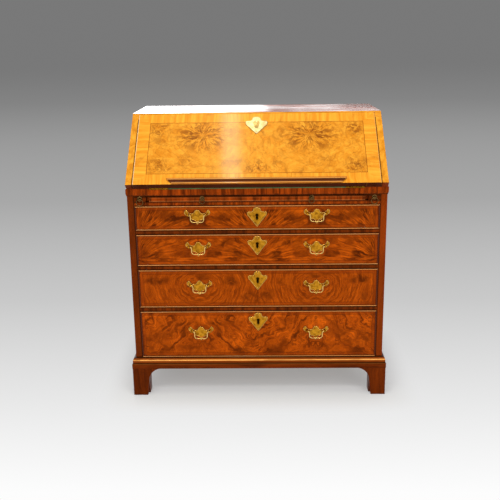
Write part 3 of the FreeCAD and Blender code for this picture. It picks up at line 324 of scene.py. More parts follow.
def shared(name, **inputs):
    """Make a function's nodes a shader group, built once and placed in each tree that asks for it."""

    def wrap(build):
        made = []

        def place_group(tree, *given):
            if not made:
                group, *flows = new_tree("ShaderNodeTree", name, inputs)
                made.append(close_tree(group, build(*flows)))
            node = put(tree, "ShaderNodeGroup", dict(enumerate(given)), node_tree=made[0])
            return [Flow(tree, socket) for socket in node.outputs]

        return place_group

    return wrap


@shared("Soft arris", Radius="Float")
def soft_arris(radius):
    """Rounds the light over sharp edges, marks where hands rub them, and gives a mask of painted shade in the
    corners.
    """
    bevel = flow(radius.tree, "ShaderNodeBevel", {"Radius": radius}, samples=4)
    wear_and_highlight = spread(bevel.dot(face_normal(radius.tree)), 0.999, 0.86)
    # Ambient occlusion darkens where parts meet and in recesses: a mask of painted shade.
    corners = flow(radius.tree, "ShaderNodeAmbientOcclusion", {"Distance": 0.007}, "AO", samples=6)
    return {"Rubbed": wear_and_highlight, "Corner shade": spread(corners, 0.82, 0.25), "Normal": bevel}


@shared("Straight grain", Place="Vector", Spacing="Float", Wander="Float")
def straight_grain(place, spacing, wander):
    """Straight timber grain along X of the given place: broad tone, fine fibre and open pores."""
    place = place + drift(place, 9.0, 2.0).scaled(wander)
    tone = noise(place * (0.055, 1.0, 1.0), 1.0 / spacing, 4.0, 0.6, 0.5)
    fibre = noise(place * (0.03, 1.0, 1.0), 1150.0, 3.0, 0.7)
    pores = noise(place * (0.07, 1.0, 1.0), 760.0, 1.0)
    return {"Tone": spread(tone, 0.28, 0.74), "Fibre": fibre, "Pores": spread(pores, 0.60, 0.74)}


@shared(
    "Curled figure",
    Place="Vector", Centre="Vector", Swirl="Float", Spacing="Float", Rays="Float", Comb="Vector",
)
def curled_figure(place, centre, swirl, spacing, rays, comb):
    """Veneer figure: grain that sweeps round a centre and is stirred by slow swirls."""
    away = place + drift(place, 13.0, 3.0, 0.6).scaled(swirl) - centre
    x, y, _ = away.xyz()
    swept = join(away.length() / spacing, y.do("ARCTAN2", x) * rays)
    tone = noise(swept, 1.0, 4.0, 0.62, 0.35)
    return {"Tone": spread(tone, 0.27, 0.73), "Fibre": noise(swept * comb, 1.0, 3.0, 0.7)}


@shared("Burr eyes", Place="Vector", Scale="Float")
def burr_eyes(place, scale):
    """Small dark eyes of a burr, gathered in clusters."""
    moved = place + drift(place, 60.0, 2.0) * (0.02, 0.02, 0.02)
    inputs = {"Vector": moved, "Scale": scale, "Randomness": 1.0}
    dots = spread(flow(place.tree, "ShaderNodeTexVoronoi", inputs, "Distance", feature="F1"), 0.36, 0.05)
    return {"Eyes": dots * spread(noise(place, 22.0, 2.0), 0.52, 0.66)}


# Materials

WARM = (1.0, 0.42, 0.08, 1.0)
POLISH = {"Coat_Weight": 0.02, "Coat_Roughness": 0.10, "Specular_IOR_Level": 0.14, "Specular_Tint": WARM}
GLAZED = {"Coat_Weight": 0.20, "Coat_Roughness": 0.10, "Specular_IOR_Level": 0.30, "Specular_Tint": WARM}
MIRROR = {"Coat_Weight": 0.45, "Coat_Roughness": 0.05, "Specular_IOR_Level": 0.10, "Specular_Tint": WARM}

# Tones of painted shade in corners, along gaps and in keyholes, of dark joints between back
# boards and of rust, and of painted highlights on beads, the book rest's lips and the fall's side edges
CORNER_SHADE = (0.018, 0.005, 0.001)
GAP_SHADE = (0.012, 0.003, 0.001)
BOARD_GAP = (0.012, 0.007, 0.004)
KEYHOLE_SHADE = (0.006, 0.003, 0.002)
RUST = (0.12, 0.05, 0.02)
BEAD_HIGHLIGHT = (0.74, 0.30, 0.075)
LIP_HIGHLIGHT = (0.78, 0.36, 0.08)
EDGE_HIGHLIGHT = (0.92, 0.70, 0.46)


def new_material(name, **sockets):
    """A material with one Principled shader whose even values are set on its sockets."""
    material = bpy.data.materials.new(name)
    material.use_nodes = True
    shader = material.node_tree.nodes["Principled BSDF"]
    feed(shader, {key.replace("_", " "): given for key, given in sockets.items()})
    return material, shader, flow(material.node_tree, "ShaderNodeTexCoord", out="Object")


def emboss(shader, height, strength, distance, **normal):
    """Raise a fine relief on a finish."""
    inputs = {"Strength": strength, "Distance": distance, "Height": height, **normal}
    feed(shader, {"Normal": flow(height.tree, "ShaderNodeBump", inputs)})


def polish(shader, tint, fibre, pores, arris, rubbed_tint):
    """Finish wood: worn arrises, painted shade in the corners, polish that is duller in the pores, and a
    trace of grain in relief.
    """
    wear_and_highlight, dirt_and_shade, normal = soft_arris(tint.tree, arris)
    # Corners and creases take the dark corner tone: painted shade.
    tint = mix(dirt_and_shade * 0.85, mix(wear_and_highlight * 0.45, tint, rubbed_tint), CORNER_SHADE)
    feed(shader, {"Base Color": tint, "Roughness": pores * 0.18 + fibre * 0.14 + 0.24})
    emboss(shader, fibre * 0.25 - pores, 0.10, 0.0004, Normal=normal)


def grain_along(place, along, spacing, wander):
    """Straight grain that runs along one axis of the object."""
    x, y, z = place.xyz()
    order = {"x": (x, y, z), "y": (y, x, z), "z": (z, x, y)}[along]
    return straight_grain(place.tree, join(*order), spacing, wander)


def walnut(
    wood, name, along, light, dark, spacing=0.02, wander=0.03,
    front_along=None, slope=False, finish=POLISH, seams=None, crests=(), uneven=False,
):
    """Polished solid walnut with straight grain.

    Faces to the front may have grain of their own and faces on the fall's slope a burr strip. Gap
    shades are dark bands of painted shade along gaps at levels of an axis, and highlight bands are
    lighter lines of painted light and painted highlight: level, half width, strength and tone. An
    uneven polish is smeared.
    """
    material, shader, place = new_material(name, **finish)
    tone, fibre, pores = grain_along(place, along, spacing, wander)
    if front_along:
        in_front = spread(face_normal(place.tree).xyz()[1], -0.3, -0.6)
        front = grain_along(place, front_along, spacing, wander)
        tone, fibre = (plain + in_front * (own - plain) for plain, own in zip((tone, fibre), front))
    tint = mix(tone, dark, light)
    tint = mix(spread(fibre, 0.35, 0.7) * 0.35, tint, dark, "MULTIPLY")
    tint = mix(pores * 0.45, tint, shade(dark, 0.35))
    tint = tint.scaled(spread(noise(place, 5.0, 2.0), 0.3, 0.7, 0.82, 1.12))
    if slope:
        leaning = face_normal(place.tree).dot((0.0, -math.sin(SLOPE), math.cos(SLOPE)))
        tint = mix(spread(leaning, 0.90, 0.97), tint, mix(tone, shade(wood.burr_mid, 0.8), wood.burr_light))
    # Lighter bands along levels: painted light and painted highlights.
    for level, half, strength, pale in crests:
        band = spread(abs(place.xyz()[2] - level), half, half * 0.5, 0.0, strength)
        tint = mix(band * spread(tone, 0.0, 0.7, 0.55, 1.0), tint, pale)
    if seams:
        axis, levels = seams
        at = abs(place.xyz()["xyz".index(axis)])
        # Dark bands along the gaps between parts: painted shade.
        gap_shade = most(*[spread(abs(at - level), 0.0042, 0.0012) for level in levels])
        tint = mix(gap_shade * 0.8, tint, GAP_SHADE)
    if uneven:
        smears = noise(place * (1.6, 16.0, 1.0), 2.6, 3.0, 0.6, 0.8)
        feed(shader, {"Coat Weight": spread(smears, 0.42, 0.58, 0.05, 0.90)})
    polish(shader, tint, fibre, pores, wood.arris, shade(light, 1.5))
    return material


def blots(leaf, spots):
    """A soft mask of a few oval spots on a leaf: place, half-widths and strength of each."""
    ovals = []
    for x, y, wide, tall, strength in spots:
        reach = ((leaf - (x, y, 0.0)) * (1 / wide, 1 / tall, 0.0)).length()
        ovals.append(spread(reach, 1.0, 0.15, 0.0, strength))
    return most(*ovals)


def stirred(leaf, scale, reach):
    """A leaf's place moved about by slow noise."""
    return leaf + drift(leaf, scale, 3.0, 0.6) * (reach, reach, 0.0)


def fall_head(out):
    """Distance up the slope from the hinge line to the fall's head, at a depth of the board."""
    return (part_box("fall_panel")[1].z - HINGE.z) / math.sin(SLOPE) - out / math.tan(SLOPE)


def fall_key():
    """Distance of the fall's keyhole from the hinge line."""
    return fall_head(FALL_FACE) - FALL_KEY_DEPTH


def drawer_key(number):
    """Height of a long drawer's keyhole."""
    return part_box(f"drawer_{number}_front")[1].z - KEY_DEPTH


# How much finer the fibre is than the figure, away from its centre and round it
RINGED = (5.5, 1.6, 1.0)
FANNED = (1.1, 5.0, 1.0)

# On a leaf of the fall: centres of the sweep and of the burst, petals, rate and start of the burst's rays,
# and dark spots as place, half-widths and strength
FALL_SWEEP = (0.19, 0.20, 0.31)
FALL_BURST = (0.189, 0.208, 0.31)
FALL_RAYS = ((3.2, 24.0, 0.50), (6.5, 34.0, 0.51), (12.0, 34.0, 0.52))
FALL_SPOTS = (
    (0.35, 0.235, 0.05, 0.05, 0.9),
    (0.345, 0.075, 0.06, 0.05, 0.9),
    (0.0, 0.075, 0.06, 0.035, 1.0),
    (0.24, 0.10, 0.05, 0.04, 0.5),
    (0.09, 0.22, 0.05, 0.03, 0.5),
)
# Depth in the board at which the upper cross-band ends, start and end of the veneer,
# and half-sizes of the keyhole with its distance below the pin
BAND_DEPTH = 0.0222
VENEER = (0.0245, 0.0255)
FALL_KEYHOLE = (0.010, 0.017, 0.005)


def fall_veneer(wood):
    """Two book-matched burr leaves with dark bursts, in a cross-banded border with a dark line."""
    material, shader, place = new_material("Fall burr walnut", **GLAZED)
    tree = place.tree
    x, up, out = on_slope(place).xyz()
    width = abs(x)
    leaf = join(width, up, x.do("SIGN") * 0.010 + FALL_SWEEP[2])
    moved = stirred(leaf, 20.0, 0.05)
    clouds = spread(noise(moved, 34.0, 6.0, 0.66, 0.8), 0.30, 0.72)
    grit = spread(noise(moved, 150.0, 6.0, 0.72, 0.5), 0.36, 0.64) * 0.32
    sweep, fibre = curled_figure(tree, leaf, FALL_SWEEP, 0.07, 0.012, 2.2, RINGED)
    streaks = spread(sweep, 0.45, 0.05) * 0.22
    brown = spread(noise(moved, 21.0, 4.0, 0.62, 0.6), 0.52, 0.74) * 0.44

    away = stirred(leaf, 45.0, 0.018) - FALL_BURST
    away_x, away_up, _ = away.xyz()
    reach = (away * (0.8, 1.15, 0.0)).length()
    turn = away_up.do("ARCTAN2", away_x)
    rays = []
    for petals, rate, low in FALL_RAYS:
        spokes = noise(join(turn * petals, reach * rate, petals), 1.0, 3.0, 0.6, 0.5)
        rays.append(spread(spokes, low, low + 0.13))
    burst = most(*rays) * spread(reach, 0.115, 0.03) * 0.80
    fine = spread(noise(moved, 85.0, 5.0, 0.7, 1.0), 0.40, 0.62)
    knots = blots(moved, FALL_SPOTS) * fine * 0.85
    (eyes,) = burr_eyes(tree, leaf, 190.0)
    tint = coats(
        mix(clouds, wood.burr_mid, wood.burr_light),
        (grit, shade(wood.burr_mid, 0.62)),
        (most(streaks, brown), wood.burr_dark),
        (most(burst, knots, eyes * 0.6), wood.burr_dark),
    )

    from_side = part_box("fall_clamps")[1].x - width
    from_end = least(up, fall_head(BAND_DEPTH) - up)
    edge = least(from_side, from_end)
    along_x = join(x, up, 0.2)
    mitred = mix(from_side < from_end, join(up, x, 0.7), along_x)
    cross, _, pores = straight_grain(tree, mitred, 0.011, 0.02)
    border = mix(cross, wood.burr_mid, shade(wood.burr_light, 1.04))
    border = mix(brown * 0.7, border, wood.burr_dark)
    line = spread(abs(edge - wood.band_width), wood.line_width, wood.line_width * 0.4)
    # A light line along the fall's side edges, stronger on the left: painted highlight.
    lit = spread(from_side, 0.0022, 0.0012) * spread(x, 0.1, -0.1, 0.15, 0.75)
    tint = coats(tint, (edge < wood.band_width, border), (line * 0.75, wood.burr_dark), (lit, EDGE_HIGHLIGHT))

    plain = straight_grain(tree, along_x, 0.02, 0.03)[0]
    tint = mix(spread(out, *VENEER), mix(plain, wood.solid_dark, wood.solid_light), tint)
    # Faces under the fall's lower edge are darkened: painted shade.
    under = face_normal(tree).dot((0.0, -math.cos(SLOPE), -math.sin(SLOPE)))
    wide, tall, below = FALL_KEYHOLE
    # The fall's face behind the shield's keyhole is near-black: painted shade in the hole.
    keyhole = join(x / wide, (up - (fall_key() - below)) / tall).length()
    tint = coats(
        tint, (spread(under, 0.75, 0.92), shade(wood.solid_dark, 0.35)), (keyhole < 1.0, KEYHOLE_SHADE)
    )
    polish(shader, tint, fibre, pores, wood.arris, wood.burr_light)
    return material


# Heights up the slope of the book rest's hollow and lips
REST_HOLLOW = 0.0105
REST_LIPS = (0.0165, 0.0045)


def rest_walnut(wood):
    """Book rest: painted highlights along its top and bottom lips, with painted shade in the hollow between.
    """
    material, shader, place = new_material("Rest walnut", **GLAZED)
    place = on_slope(place)
    up = place.xyz()[1]
    tone, fibre, pores = straight_grain(place.tree, place, 0.008, 0.01)
    # Dark in the hollow of the moulding: painted shade.
    hollow = spread(abs(up - REST_HOLLOW), 0.0055, 0.0035)
    tint = mix(hollow * 0.85, mix(tone, wood.solid_dark, wood.veneer_light), shade(wood.solid_dark, 0.3))
    # Lighter lines along the two lips: painted highlights.
    lip = spread(least(*[abs(up - level) for level in REST_LIPS]), 0.0022, 0.0010)
    tint = mix(lip * 0.75, tint, LIP_HIGHLIGHT)
    polish(shader, tint, fibre, pores, wood.arris, wood.burr_light)
    return material


# Each long drawer's veneer, top down: the sweep's centre, swirl, spacing, ray rate and comb; then
# strength of the streaks, tone, bright fibres, and dark spots as place, half-widths and strength
FIGURES = {
    1: (
        ((0.21, -0.075, 0.1), 0.022, 0.060, 5.0, FANNED), 0.85, 0.86, 0.55,
        ((0.13, 0.0, 0.06, 0.03, 0.3), (0.30, 0.02, 0.05, 0.03, 0.3)),
    ),
    2: (
        ((0.23, -0.03, 0.2), 0.028, 0.075, 4.2, FANNED), 0.90, 1.00, 0.42,
        ((0.12, 0.027, 0.075, 0.022, 0.8), (0.395, 0.0, 0.03, 0.06, 0.5)),
    ),
    3: (
        ((0.012, 0.016, 0.3), 0.045, 0.0070, 1.3, RINGED), 0.50, 0.98, 0.3,
        (
            (0.034, -0.03, 0.05, 0.03, 0.75), (0.36, 0.033, 0.07, 0.026, 0.8),
            (0.097, 0.025, 0.04, 0.026, 0.85), (0.20, 0.045, 0.05, 0.02, 0.6),
        ),
    ),
    4: (
        ((0.25, 0.13, 0.4), 0.150, 0.022, 1.6, RINGED), 0.82, 1.22, 0.1,
        (
            (0.36, 0.0, 0.06, 0.05, 0.5), (0.25, -0.055, 0.09, 0.03, 0.6),
            (0.05, -0.06, 0.04, 0.03, 0.55), (0.10, 0.05, 0.06, 0.03, 0.4),
        ),
    ),
}
# Width of a drawer's cross-band inside its beads, and how far back its veneer ends and the inside begins
DRAWER_BAND = 0.012
VENEER_BACK = (FRONT + 0.0015, FRONT + 0.003)
INSIDE_FRONT = (FRONT + 0.004, FRONT + 0.006)


def drawer_veneer(wood, number):
    """Four book-matched leaves on a drawer front, inside plain cock beads."""
    material, shader, place = new_material(f"Drawer {number} veneer", **POLISH)
    tree = place.tree
    figure, strength, level_tone, flash, spots = FIGURES[number]
    light, middle = (shade(tone, level_tone) for tone in (wood.veneer_light, wood.veneer_mid))
    low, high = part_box(f"drawer_{number}_front")
    handle = JOINTS[f"drawer_{number}_right_handle_swing"]["pos_m"][0]
    x, y, z = place.xyz()
    level = z - (low.z + high.z) / 2
    width = abs(x)
    fold = abs(width - handle)
    depth = x.do("SIGN") * 0.014 + figure[0][2]
    leaf = join(fold, level, depth)
    moved = stirred(join(width, level, depth), 18.0, 0.05)
    sweep, fibre = curled_figure(tree, leaf, *figure)
    clouds = spread(noise(moved, 26.0, 6.0, 0.66, 0.8), 0.30, 0.72)
    flecks = spread(sweep, 0.66, 0.95) * spread(clouds, 0.2, 0.7)
    specks = spread(noise(moved * (1.0, 2.2, 1.0), 95.0, 5.0, 0.7, 0.6), 0.40, 0.62)
    come = spread(noise(moved, 8.0, 3.0, 0.6), 0.36, 0.60, strength * 0.5, strength)
    streaks = spread(sweep, 0.52, 0.16) * come
    hairs = spread(fibre, 0.54, 0.38) * (come * 0.5 + 0.22)
    patches = spread(noise(moved, 14.0, 4.0, 0.62, 0.6), 0.50, 0.72) * 0.6
    (eyes,) = burr_eyes(tree, leaf, 170.0)
    knots = blots(moved, spots) * spread(clouds, 1.1, 0.2)
    seam = spread(least(width, fold), 0.0009, 0.0003)
    tint = coats(
        mix(sweep * 0.5 + clouds * 0.5, middle, light),
        (flecks * 0.6, shade(light, 1.55)),
        (specks * 0.30, shade(light, 1.25)),
        (spread(fibre, 0.50, 0.62, 0.0, flash), shade(light, 1.7)),
        (most(streaks, hairs, patches, eyes * 0.4, knots), wood.veneer_dark),
        (seam * 0.4, wood.veneer_dark),
    )

    from_side = high.x - width
    from_end = (high.z - low.z) / 2 - abs(level)
    edge = least(from_side, from_end)
    on_side = from_side < from_end
    run = mix(on_side, join(x, z, y), join(z, x, y))
    tone, _, pores = straight_grain(tree, run, 0.01, 0.01)
    band = BEAD + DRAWER_BAND
    banded = spread(edge, band + 0.0005, band - 0.0005) * 0.55
    line = spread(abs(edge - band), 0.0012, 0.0005)
    # A dark band on the veneer just inside the bead: painted shade.
    quirk = spread(edge, BEAD + 0.0030, BEAD + 0.0006)
    # The beads are dark all round, with a lighter line along the middle of the top and bottom beads only:
    # painted shade and painted highlight.
    on_bead = edge < BEAD
    wear_and_highlight = spread(abs(edge - BEAD / 2), 0.0013, 0.0006) * (1.0 - on_side)
    # The keyway behind the keyhole, inside the front, is near-black: painted shade.
    from_key = join(x, z - drawer_key(number)).length()
    core = mix(from_key < KEY_BORE, mix(tone, wood.oak_dark, wood.oak_light), KEYHOLE_SHADE)
    tint = coats(
        tint,
        (banded, mix(tone, wood.solid_dark, wood.solid_light)),
        (most(line * 0.45, quirk * 0.7), wood.veneer_dark),
        (on_bead, mix(wear_and_highlight, shade(wood.solid_dark, 0.6), BEAD_HIGHLIGHT)),
        (spread(y, *VENEER_BACK), core),
    )
    feed(shader, {"Coat Weight": on_bead * 0.4 + 0.02})
    polish(shader, tint, fibre, pores, wood.arris, wood.veneer_light)
    return material


# Usual pitch, splay and depth of the dovetails, and share of a pitch that a pin takes
DOVETAIL_PITCH, DOVETAIL_SPLAY, DOVETAIL_DEPTH, DOVETAIL_PIN = 0.036, 0.28, 0.014, 0.16


def oak(wood, name, along, dovetails=None, boards=None):
    """Plain waxed oak; a drawer lining shows its dovetails at the front, and a back its separate boards."""
    material, shader, place = new_material(name, Specular_IOR_Level=0.3)
    _, y, z = place.xyz()
    tone, fibre, pores = grain_along(place, along, 0.03, 0.02)
    tint = mix(tone, wood.oak_dark, wood.oak_light)
    tint = mix(pores * 0.5, tint, shade(wood.oak_dark, 0.4))
    if dovetails:
        low, high, start = dovetails
        pitch = (high - low) / max(2, round((high - low) / DOVETAIL_PITCH))
        depth = y - start
        pin = (z - low).do("PINGPONG", pitch / 2) < depth * -DOVETAIL_SPLAY + pitch * DOVETAIL_PIN
        tint = mix(pin * (depth < DOVETAIL_DEPTH), tint, shade(wood.oak_dark, 0.62))
    dirt_and_shade = spread(noise(place, 7.0, 3.0), 0.35, 0.7, 0.75, 1.05)
    if boards:
        low, pitch = boards
        share = (z - low) / pitch
        board = {"W": share.do("FLOOR")}
        own = flow(place.tree, "ShaderNodeTexWhiteNoise", board, "Value", noise_dimensions="1D")
        dirt_and_shade = dirt_and_shade * (own * 0.4 + 0.75)
        gap = share.do("PINGPONG", 0.5) * pitch
        tint = mix(spread(gap, 0.0030, 0.0010, 0.0, 0.9), tint, BOARD_GAP)
    wear_and_highlight, _, normal = soft_arris(place.tree, 0.001)
    tint = mix(wear_and_highlight * 0.35, tint.scaled(dirt_and_shade), wood.oak_light)
    feed(shader, {"Base Color": tint, "Roughness": fibre * 0.25 + 0.5})
    emboss(shader, fibre - pores, 0.25, 0.0004, Normal=normal)
    return material


# The two ovals of a drawer's keyhole: distance below its centre, and half-sizes
KEYHOLE = ((0.0, 0.0054, 0.0054), (0.0090, 0.0042, 0.0082))


def brass(name, bright, dull, patina, satin=0.13, keys=()):
    """Old brass: worn bright on its edges, toned and scratched between, with painted shade in its corners; a
    plate has painted shade in its keyholes and behind its front.
    """
    material, shader, place = new_material(name, Metallic=1.0, Specular_Tint=(1.0, 0.78, 0.42, 1.0))
    x, y, z = place.xyz()
    wear_and_highlight, dirt_and_shade, normal = soft_arris(place.tree, 0.0007)
    clouds = spread(noise(place, 95.0, 4.0, 0.65, 0.6), 0.34, 0.70)
    # Corners, the inside of each keyhole and the brass behind the front are darkened: painted shade.
    toned, painted_shade = clouds * patina, dirt_and_shade * 0.8
    if keys:
        holes = [(level - below, wide, tall) for level in keys for below, wide, tall in KEYHOLE]
        near = least(*[join(x / wide, (z - level) / tall).length() for level, wide, tall in holes])
        toned = most(toned, spread(near, 3.0, 1.1, 0.0, 0.6))
        painted_shade = most(painted_shade, spread(y, *INSIDE_FRONT), spread(near, 1.06, 0.98))
    kept = toned * (1.0 - wear_and_highlight)
    tint = mix(wear_and_highlight * 0.8, mix(kept, bright, dull), shade(bright, 1.4))
    tint = mix(painted_shade, tint, shade(dull, 0.12))
    scratches = noise(place * (1.0, 1.0, 9.0), 420.0, 3.0, 0.7)
    feed(shader, {"Base Color": tint, "Roughness": scratches * 0.16 + kept * 0.22 + satin})
    emboss(shader, clouds, 0.12, 0.0003, Normal=normal)
    return material


def leather(name, lining, half, start, end, sloped=False):
    """Dyed leather with a pebbled skin and a double gilt line inside its edge."""
    material, shader, place = new_material(name, Specular_IOR_Level=0.35)
    across, along, _ = (on_slope(place) if sloped else place).xyz()
    from_edge = least(half - abs(across), along - start, end - along)
    inset = lining.tooling_inset
    wide = spread(abs(from_edge - inset), 0.0013, 0.0009)
    thin = spread(abs(from_edge - inset * 1.5), 0.0007, 0.0004)
    gilt = most(wide, thin) * spread(noise(place, 160.0), 0.38, 0.5)
    worn = spread(noise(place, 8.0, 4.0, 0.6), 0.35, 0.72)
    tint = mix(worn, shade(lining.leather, 0.7), shade(lining.leather, 1.5))
    tint = mix(gilt, tint, lining.tooling)
    feed(shader, {"Base Color": tint, "Metallic": gilt * 0.8, "Roughness": worn * 0.15 + 0.42})
    inputs = {"Vector": place, "Scale": 620.0}
    pebbles = flow(place.tree, "ShaderNodeTexVoronoi", inputs, "Distance", feature="SMOOTH_F1")
    emboss(shader, pebbles, 0.2, 0.0004)
    return material


def steel(metal):
    """Filed steel with faint scratches and a little rust."""
    material, shader, place = new_material("Lock steel", Metallic=1.0)
    filed = noise(place * (0.1, 1.0, 1.0), 900.0, 3.0, 0.7)
    rust = spread(noise(place, 60.0, 3.0), 0.58, 0.75)
    feed(shader, {"Base Color": mix(rust * 0.5, metal.steel, RUST), "Roughness": filed * 0.3 + 0.22})
    return material


def dress(material, *names):
    """Give CAD nodes their finish."""
    for name in names:
        slots = NODES[name].data.materials
        slots.clear()
        slots.append(material)


# Geometry Nodes for fixings and rims


def geometry_tree(name, **inputs):
    return new_tree("GeometryNodeTree", name, {"Geometry": "Geometry", **inputs, "Material": "Material"})


def finish_tree(geometry, material):
    """End a tree in plain, smooth geometry with its material."""
    tree = geometry.tree
    geometry = flow(tree, "GeometryNodeRealizeInstances", {0: geometry})
    geometry = flow(tree, "GeometryNodeSetShadeSmooth", {0: geometry})
    geometry = flow(tree, "GeometryNodeSetMaterial", {0: geometry, "Material": material})
    return close_tree(tree, {"Geometry": geometry})


def wire_tree():
    """A round wire that follows the edges it is given."""
    tree, edges, radius, material = geometry_tree("Wire along edges", Radius="Float")
    path = flow(tree, "GeometryNodeMeshToCurve", {0: edges})
    section = flow(tree, "GeometryNodeCurvePrimitiveCircle", {"Resolution": 8, "Radius": radius})
    wire = flow(tree, "GeometryNodeCurveToMesh", {0: path, 1: section, "Fill Caps": True})
    return finish_tree(wire, material)


def stud_tree():
    """A low domed head on each point."""
    tree, points, radius, flatness, material = geometry_tree("Domed heads", Radius="Float", Flatness="Vector")
    head = flow(tree, "GeometryNodeMeshUVSphere", {"Segments": 12, "Rings": 6, "Radius": radius})
    flat = flow(tree, "GeometryNodeTransform", {0: head, "Scale": flatness})
    return finish_tree(flow(tree, "GeometryNodeInstanceOnPoints", {0: points, "Instance": flat}), material)


def screw_tree():
    """A flat slotted screw head on each point, turned to the face that it holds."""
    tree, points, radius, tilt, material = geometry_tree("Slotted screws", Radius="Float", Tilt="Float")
    height = radius * 0.28
    disc = flow(tree, "GeometryNodeMeshCylinder", {"Vertices": 20, "Radius": radius, "Depth": height})
    slot = flow(tree, "GeometryNodeMeshCube", {"Size": join(radius * 3.0, radius * 0.22, height)})
    raised = flow(tree, "GeometryNodeTransform", {0: slot, "Translation": join(0.0, 0.0, height * 0.62)})
    head = flow(tree, "GeometryNodeMeshBoolean", {0: disc, 1: raised}, operation="DIFFERENCE")
    turn = flow(tree, "FunctionNodeRandomValue", {2: 0.0, 3: math.pi, "Seed": 7}, 1, data_type="FLOAT")
    inputs = {0: points, "Instance": head, "Rotation": join(tilt, 0.0, 0.0)}
    placed = flow(tree, "GeometryNodeInstanceOnPoints", inputs)
    inputs = {0: placed, "Rotation": join(0.0, 0.0, turn), "Local Space": True}
    return finish_tree(flow(tree, "GeometryNodeRotateInstances", inputs), material)


def add_object(name, data):
    """A new object in the scene."""
    made = bpy.data.objects.new(name, data)
    bpy.context.scene.collection.objects.link(made)
    return made


def grow(name, points, tree, values, body, edges=()):
    """Run a geometry tree on a few points and edges, and keep the result as a plain mesh on a body."""
    seed = bpy.data.meshes.new(f"{name}_seed")
    seed.from_pydata([tuple(point) for point in points], list(edges), [])
    maker = add_object(f"{name}_seed", seed)
    modifier = maker.modifiers.new("Make", "NODES")
    modifier.node_group = tree
    for item in tree.interface.items_tree:
        if item.name in values:
            modifier[item.identifier] = values[item.name]
    made = maker.evaluated_get(bpy.context.evaluated_depsgraph_get())
    mesh = bpy.data.meshes.new_from_object(made)
    mesh.name = name
    bpy.data.objects.remove(maker)
    piece = add_object(name, mesh)
    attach(piece, body)
    return piece


# Right half of a plate's outline, top down, in shares of its size: place, then radius of the arc that
# follows as a share of its chord, and the side of the arc's centre
BATWING = (
    (0.0, 1.0, 0.85, -1),
    (0.12, 0.58, 0.85, 1),
    (0.23, 0.22, 0.85, 1),
    (0.40, 0.84, 0.56, -1),
    (0.49, 0.84, 0.56, -1),
    (0.45, -0.06, 1.3, 1),
    (0.28, -0.33, 0.85, -1),
    (0.14, -0.58, 0.85, 1),
    (0.05, -0.80, 0.85, -1),
    (0.0, -1.0),
)
KITE = (
    (0.0, 1.0, 0.56, -1),
    (0.20, 0.64, 0.85, 1),
    (0.42, 0.50, 0.56, -1),
    (0.50, 0.14, 0.85, -1),
    (0.43, -0.12),
    (0.05, -0.94, 0.85, -1),
    (0.0, -1.0),
)
PLATE = {"half": BATWING, "width": 0.086, "rise": 0.017, "drop": 0.036}
ESCUTCHEON = {"half": KITE, "width": 0.067, "rise": 0.027, "drop": 0.041}
SHIELD = {"half": KITE, "width": 0.075, "rise": 0.034, "drop": 0.040}
# Pins of a kite plate, in the same shares
PINS = ((0.0, 0.74), (-0.40, 0.30), (0.40, 0.30), (0.0, -0.80))


def spot_on(plate, across, height):
    """A spot on a plate from its shares."""
    return Vector((across * plate["width"], height * plate["rise" if height > 0 else "drop"]))


def bent_run(start, end, ratio, side, steps=6):
    """Points of an arc whose radius is a share of its chord, without its end point."""
    chord = end - start
    left = Vector((-chord.y, chord.x)).normalized()
    radius = ratio * chord.length
    centre = (start + end) / 2 + left * side * math.sqrt(radius**2 - chord.length_squared / 4)
    first, last = (math.atan2(point.y - centre.y, point.x - centre.x) for point in (start, end))
    if (last - first) * side < 0:
        last += side * 2 * math.pi
    angles = [first + (last - first) * i / steps for i in range(steps)]
    return [centre + radius * Vector((math.cos(a), math.sin(a))) for a in angles]


def plate_outline(plate, inset):
    """The closed outline of a plate from its right half, drawn in by a small inset."""
    corners = [(spot_on(plate, across, height), bend) for across, height, *bend in plate["half"]]
    points = []
    for (start, bend), (end, _) in zip(corners, corners[1:]):
        points += bent_run(start, end, *bend) if bend else [start]
    points.append(corners[-1][0])
    points += [Vector((-p.x, p.y)) for p in reversed(points[1:-1])]
    drawn = []
    for i, point in enumerate(points):
        ahead = points[(i + 1) % len(points)] - points[i - 1]
        drawn.append(point + Vector((ahead.y, -ahead.x)).normalized() * inset)
    return drawn


def on_front(spot, x, z):
    return Vector((x + spot.x, FRONT - PLATE_FACE, z + spot.y))


def on_fall(x, up, out):
    return HINGE + Matrix.Rotation(SLOPE, 3, "X") @ Vector((x, up, out))


def closed_edges(start, total):
    return [(start + i, start + (i + 1) % total) for i in range(total)]


# Operators


